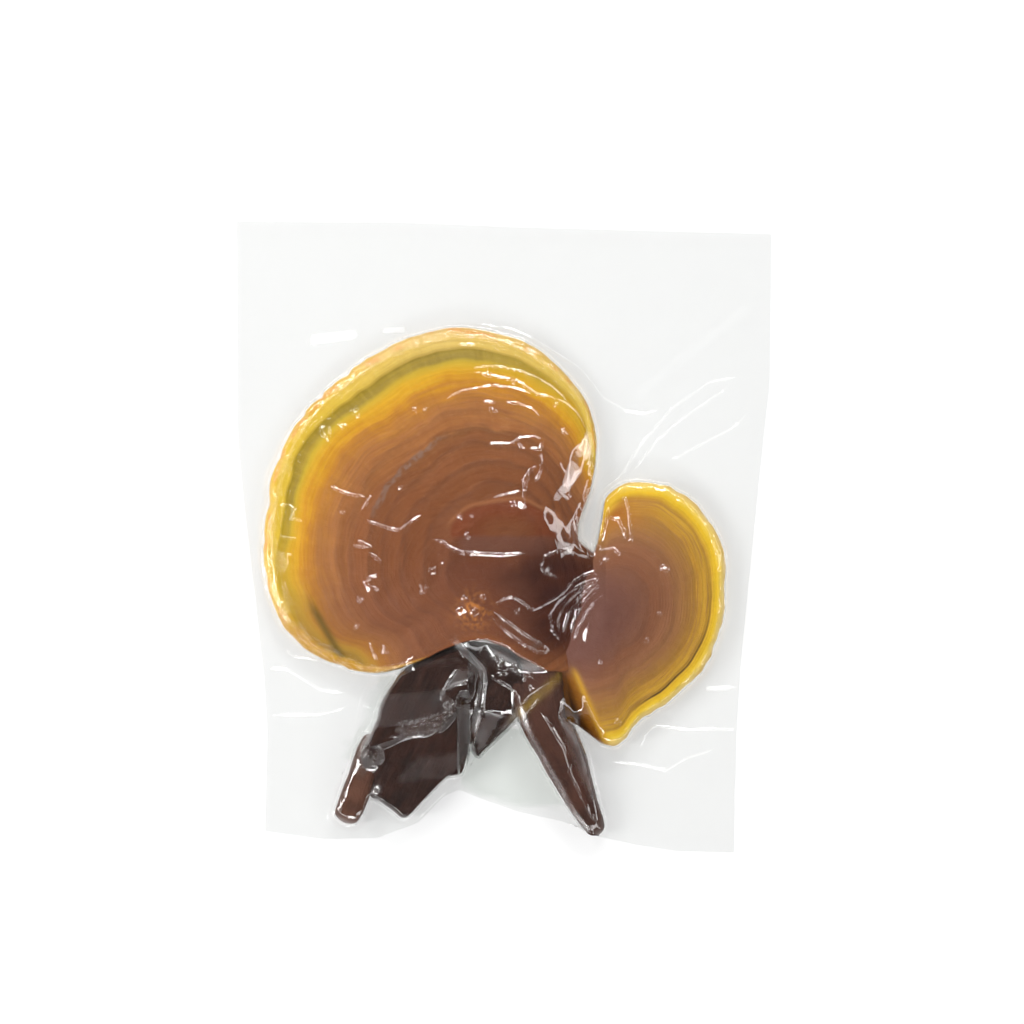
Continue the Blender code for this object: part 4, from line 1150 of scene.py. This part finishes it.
# Where the film is finely wrinkled: along the large cap's margin, on the torn ridge and on the knot
from_centre = np.hypot(x - LARGE_CENTRE[0], y - LARGE_CENTRE[1])
heading = np.arctan2(y - LARGE_CENTRE[1], x - LARGE_CENTRE[0])
share = from_centre / edge_reach(LARGE_MARGIN + LARGE_NECK, LARGE_CENTRE, heading)
far = np.interp(np.degrees(heading) % 360, (40, 80, 215, 235), (0, 1, 1, 0))
wrinkled = 0.4 * smooth(0.9, 0.95, share) * smooth(1.0, 0.98, share) * far
wrinkled = np.maximum(wrinkled, 0.6 * crumpled)
wrinkled = wrinkled * (0.7 + 0.5 * ripples(x, y, 9, 77))
# Where it is dull: flat panels stuck to the mushroom, each with its dullness and corners, and straps of
# spare film, each with its dullness, half width and route
PANELS = (
    (0.55, (
        (-44.2, -58.2), (-23.1, -56), (-19, -60), (-19, -64), (-23.2, -66), (-34.6, -69.5),
        (-47.5, -71),
    )),
    (0.55, ((-34.6, -48.9), (-28.8, -45.6), (-16.6, -44.6), (-15.9, -46.7))),
    (0.55, ((-32.4, -81.5), (-17, -79), (-15.5, -89.5), (-21, -90), (-36, -105), (-44.5, -95))),
    (0.5, ((-17.4, -62.5), (-12.4, -62), (-13.2, -78), (-15, -86), (-17.4, -80))),
    (0.9, ((-7.2, -64.8), (-0.1, -66.4), (-9.6, -81.5), (-11, -75))),
    (0.8, ((-16.6, -47.8), (-8.7, -51.4), (-16.3, -54.6), (-23.1, -59.3))),
    (0.35, ((-56, -85), (-50.5, -85), (-50.5, -90), (-55, -90))),
    (0.12, ((19, -19), (34, -14), (37, -18), (27, -38), (20, -38))),
    (0.3, ((-5, -27), (8, -36), (15, -41), (12, -42), (0, -34))),
    (0.7, ((20, -66), (26, -70), (34, -98), (32, -98), (26, -84))),
    (0.6, ((-14, -76), (-11.5, -76), (-9.5, -82), (-14, -87))),
    (0.2, ((-17, -41), (-2, -37.5), (14, -47.5), (12, -53.5), (-8, -48))),
    (0.3, ((-51, -92), (-45.5, -92), (-45.5, -98.5), (-50, -98.5))),
)
STRAPS = (
    (0.8, 1.6, ((-18, -39), (-12.6, -44.4), (-8.2, -49), (-7.4, -53))),
    (0.45, 1.5, ((-7.4, -50), (-9.2, -60), (-11.2, -72))),
    (0.22, 2.2, ((20.7, -53.5), (11.4, -60), (6, -65))),
    (0.42, 2.4, ((5, -66), (2.7, -68.6), (-4.4, -77.2), (-9.5, -84))),
    (0.6, 1.3, ((7, -63.6), (8.5, -70), (15.7, -83.6), (23.5, -98), (31.4, -110.3))),
)
# Soft pale smudges on the loose film: dullness, half width, route
SMUDGES = (
    (1.3, 3.1, ((-71, 74), (-64, 74.8), (-57, 75.8))),
    (1.2, 1.7, ((-44.5, 77.4), (-38, 77.7))),
    (0.45, 3.6, ((50.5, 53.2), (70, 70), (90, 85))),
    (1.2, 1.5, ((76.5, -56.8), (84, -56.4))),
)
dull = np.zeros(x.shape)
for dullness, corners in PANELS:
    dull = np.maximum(dull, dullness * panel(x, y, corners))
for dullness, half, route in STRAPS:
    dull = np.maximum(dull, dullness * smooth(half, half - 0.5, distance_to(x, y, route)[0]))
smudged = np.zeros(x.shape)
for dullness, half, route in SMUDGES:
    smudged = np.maximum(smudged, dullness * smooth(half, 0.2 * half, distance_to(x, y, route)[0]))
dull = np.maximum(dull, smudged)
# Painted shade: the film is painted greyer where the stems' shade falls on and beside it: by how much, and
# the panel's corners
STEM_SHADE_PANELS = (
    (1.0, ((-16, -88), (-3, -71), (7, -72), (22, -100), (4, -101), (-16, -94))),
    (0.6, ((-46, -52), (-40, -52), (-53, -82), (-60, -84))),
    (1.6, ((-14, -75), (-11, -75), (-9, -83), (-14, -89))),
)
shade_greyed = np.zeros(x.shape)
for greyness, corners in STEM_SHADE_PANELS:
    shade_greyed = np.maximum(shade_greyed, greyness * panel(x, y, corners))
sharp = np.maximum(folds * smooth(0.9, 1.0, inside + np.isfinite(top_seen)), loose)
sharp = np.maximum(sharp, (KEPT_FINE + CRISP) / 2 * (smudged > 0))
front_film = film_piece("FrontFilm", x, y, front, 0.1, "front_film",
                        (("folded", sharp), ("wrinkled", np.clip(wrinkled, 0, 1.5)), ("dull", dull),
                         ("shade_greyed", shade_greyed)))
BACK_GRID, BACK_CELL, BACK_SAG, BACK_LOWEST = (161, 189), 1.25, 0.3, 0.15
back_x, back_y, back_edge = bag_grid(*BACK_GRID)
under = seen_from(-1, mushroom, back_x, back_y)
back_seam = seam_height(back_x, back_y, back_edge)
limit = np.minimum(back_seam - NEAREST, widened(np.nan_to_num(under, nan=FAR_OFF), np.min) - CLEARANCE)
limit = np.maximum(limit - FILM, BACK_LOWEST)
back = settled(limit, np.full(limit.shape, BACK_LOWEST), limit, BACK_SAG * BACK_CELL**2 / 4, 300)
back_film = film_piece("BackFilm", back_x, back_y, back, 0.6, "back_film")
cut_edge, tree = fresh_material("FilmCutEdge")
haze = blend(tree, use(tree, MOTTLE, Size=6.0, Seed=12.0)[0], (0.62, 0.64, 0.62, 1), (0.8, 0.81, 0.8, 1))
surface = add(tree, "BsdfPrincipled", {"Base Color": haze, "Roughness": 0.4})
add(tree, "OutputMaterial", {"Surface": surface.outputs[0]})
clear_film = film_material()
for piece in (front_film, back_film):
    piece.data.materials.append(clear_film)
    piece.data.materials.append(cut_edge)

# --- Floor, light and camera ---
# A plain white table that glows faintly, dim surroundings with a thin ring of lamps, five narrow
# softboxes that put the long glints on the film, and the camera straight above.

shape = bmesh.new()
bmesh.ops.create_grid(shape, x_segments=1, y_segments=1, size=4)
floor = bpy.data.objects.new("Floor", mesh_of(shape, "Floor"))
bpy.context.scene.collection.objects.link(floor)
paint, tree = fresh_material("FloorPaint")
grain = use(tree, MOTTLE, Size=40.0, Seed=9.0)[0]
tint = blend(tree, grain, (0.365, 0.365, 0.365, 1), (0.37, 0.37, 0.37, 1))
# The table glows a little, as a light table does, so that shadows on it stay faint
glow = {"Base Color": tint, "Roughness": 0.9, "Specular IOR Level": 0.1, "Emission Color": (1, 1, 1, 1),
        "Emission Strength": 0.56}
add(tree, "OutputMaterial", {"Surface": add(tree, "BsdfPrincipled", glow).outputs[0]})
floor.data.materials.append(paint)

world = bpy.data.worlds.new("Studio")
bpy.context.scene.world = world
world.use_nodes = True
tree = world.node_tree
tree.nodes.clear()
up = add(tree, "SeparateXYZ", {0: add(tree, "TexCoord").outputs["Generated"]}).outputs[2]
# Dim all round, with a thin bright ring 51 to 55 degrees off the vertical: height, brightness
SKY = ((0.0, 0.12), (0.2, 0.13), (0.42, 0.11), (0.56, 0.03), (0.572, 1.0), (0.628, 1.0), (0.64, 0.02),
       (0.95, 0.018))
sky = ramp(tree, up, [(at, (level,) * 3) for at, level in SKY])
add(tree, "OutputWorld", {"Surface": add(tree, "Background", {"Color": sky, "Strength": 5.0}).outputs[0]})

# Softboxes: direction round the table, angle off the vertical, size, power
LAMP_DISTANCE = 1.1
for name, azimuth, off, size, power in (
    ("SoftboxTop", 80, 52, (0.44, 0.15), 5.2),
    ("SoftboxCorner", 132, 53, (0.28, 0.11), 2.4),
    ("SoftboxLeft", 192, 53, (0.13, 0.6), 6.6),
    ("SoftboxRight", 8, 53, (0.12, 0.4), 0.5),
    ("SoftboxBottom", -100, 53, (0.4, 0.12), 2.2),
):
    lamp = bpy.data.lights.new(name, "AREA")
    lamp.shape = "RECTANGLE"
    lamp.size, lamp.size_y = size
    lamp.energy = power
    spot = bpy.data.objects.new(name, lamp)
    turn, tilt = math.radians(azimuth), math.radians(off)
    way = Vector((math.cos(turn) * math.sin(tilt), math.sin(turn) * math.sin(tilt), math.cos(tilt)))
    spot.location = way * LAMP_DISTANCE
    spot.rotation_euler = way.to_track_quat("Z", "Y").to_euler()
    bpy.context.scene.collection.objects.link(spot)

CAMERA_HEIGHT, VIEW_WIDTH, SENSOR_WIDTH = 1.6, 0.384, 36
camera = bpy.data.objects.new("Camera", bpy.data.cameras.new("Camera"))
camera.data.sensor_width = SENSOR_WIDTH
camera.data.lens = SENSOR_WIDTH * CAMERA_HEIGHT / VIEW_WIDTH
camera.location = (0.003, 0.0094, CAMERA_HEIGHT)
bpy.context.scene.collection.objects.link(camera)
bpy.context.scene.camera = camera
bpy.context.scene.view_settings.view_transform = "Standard"
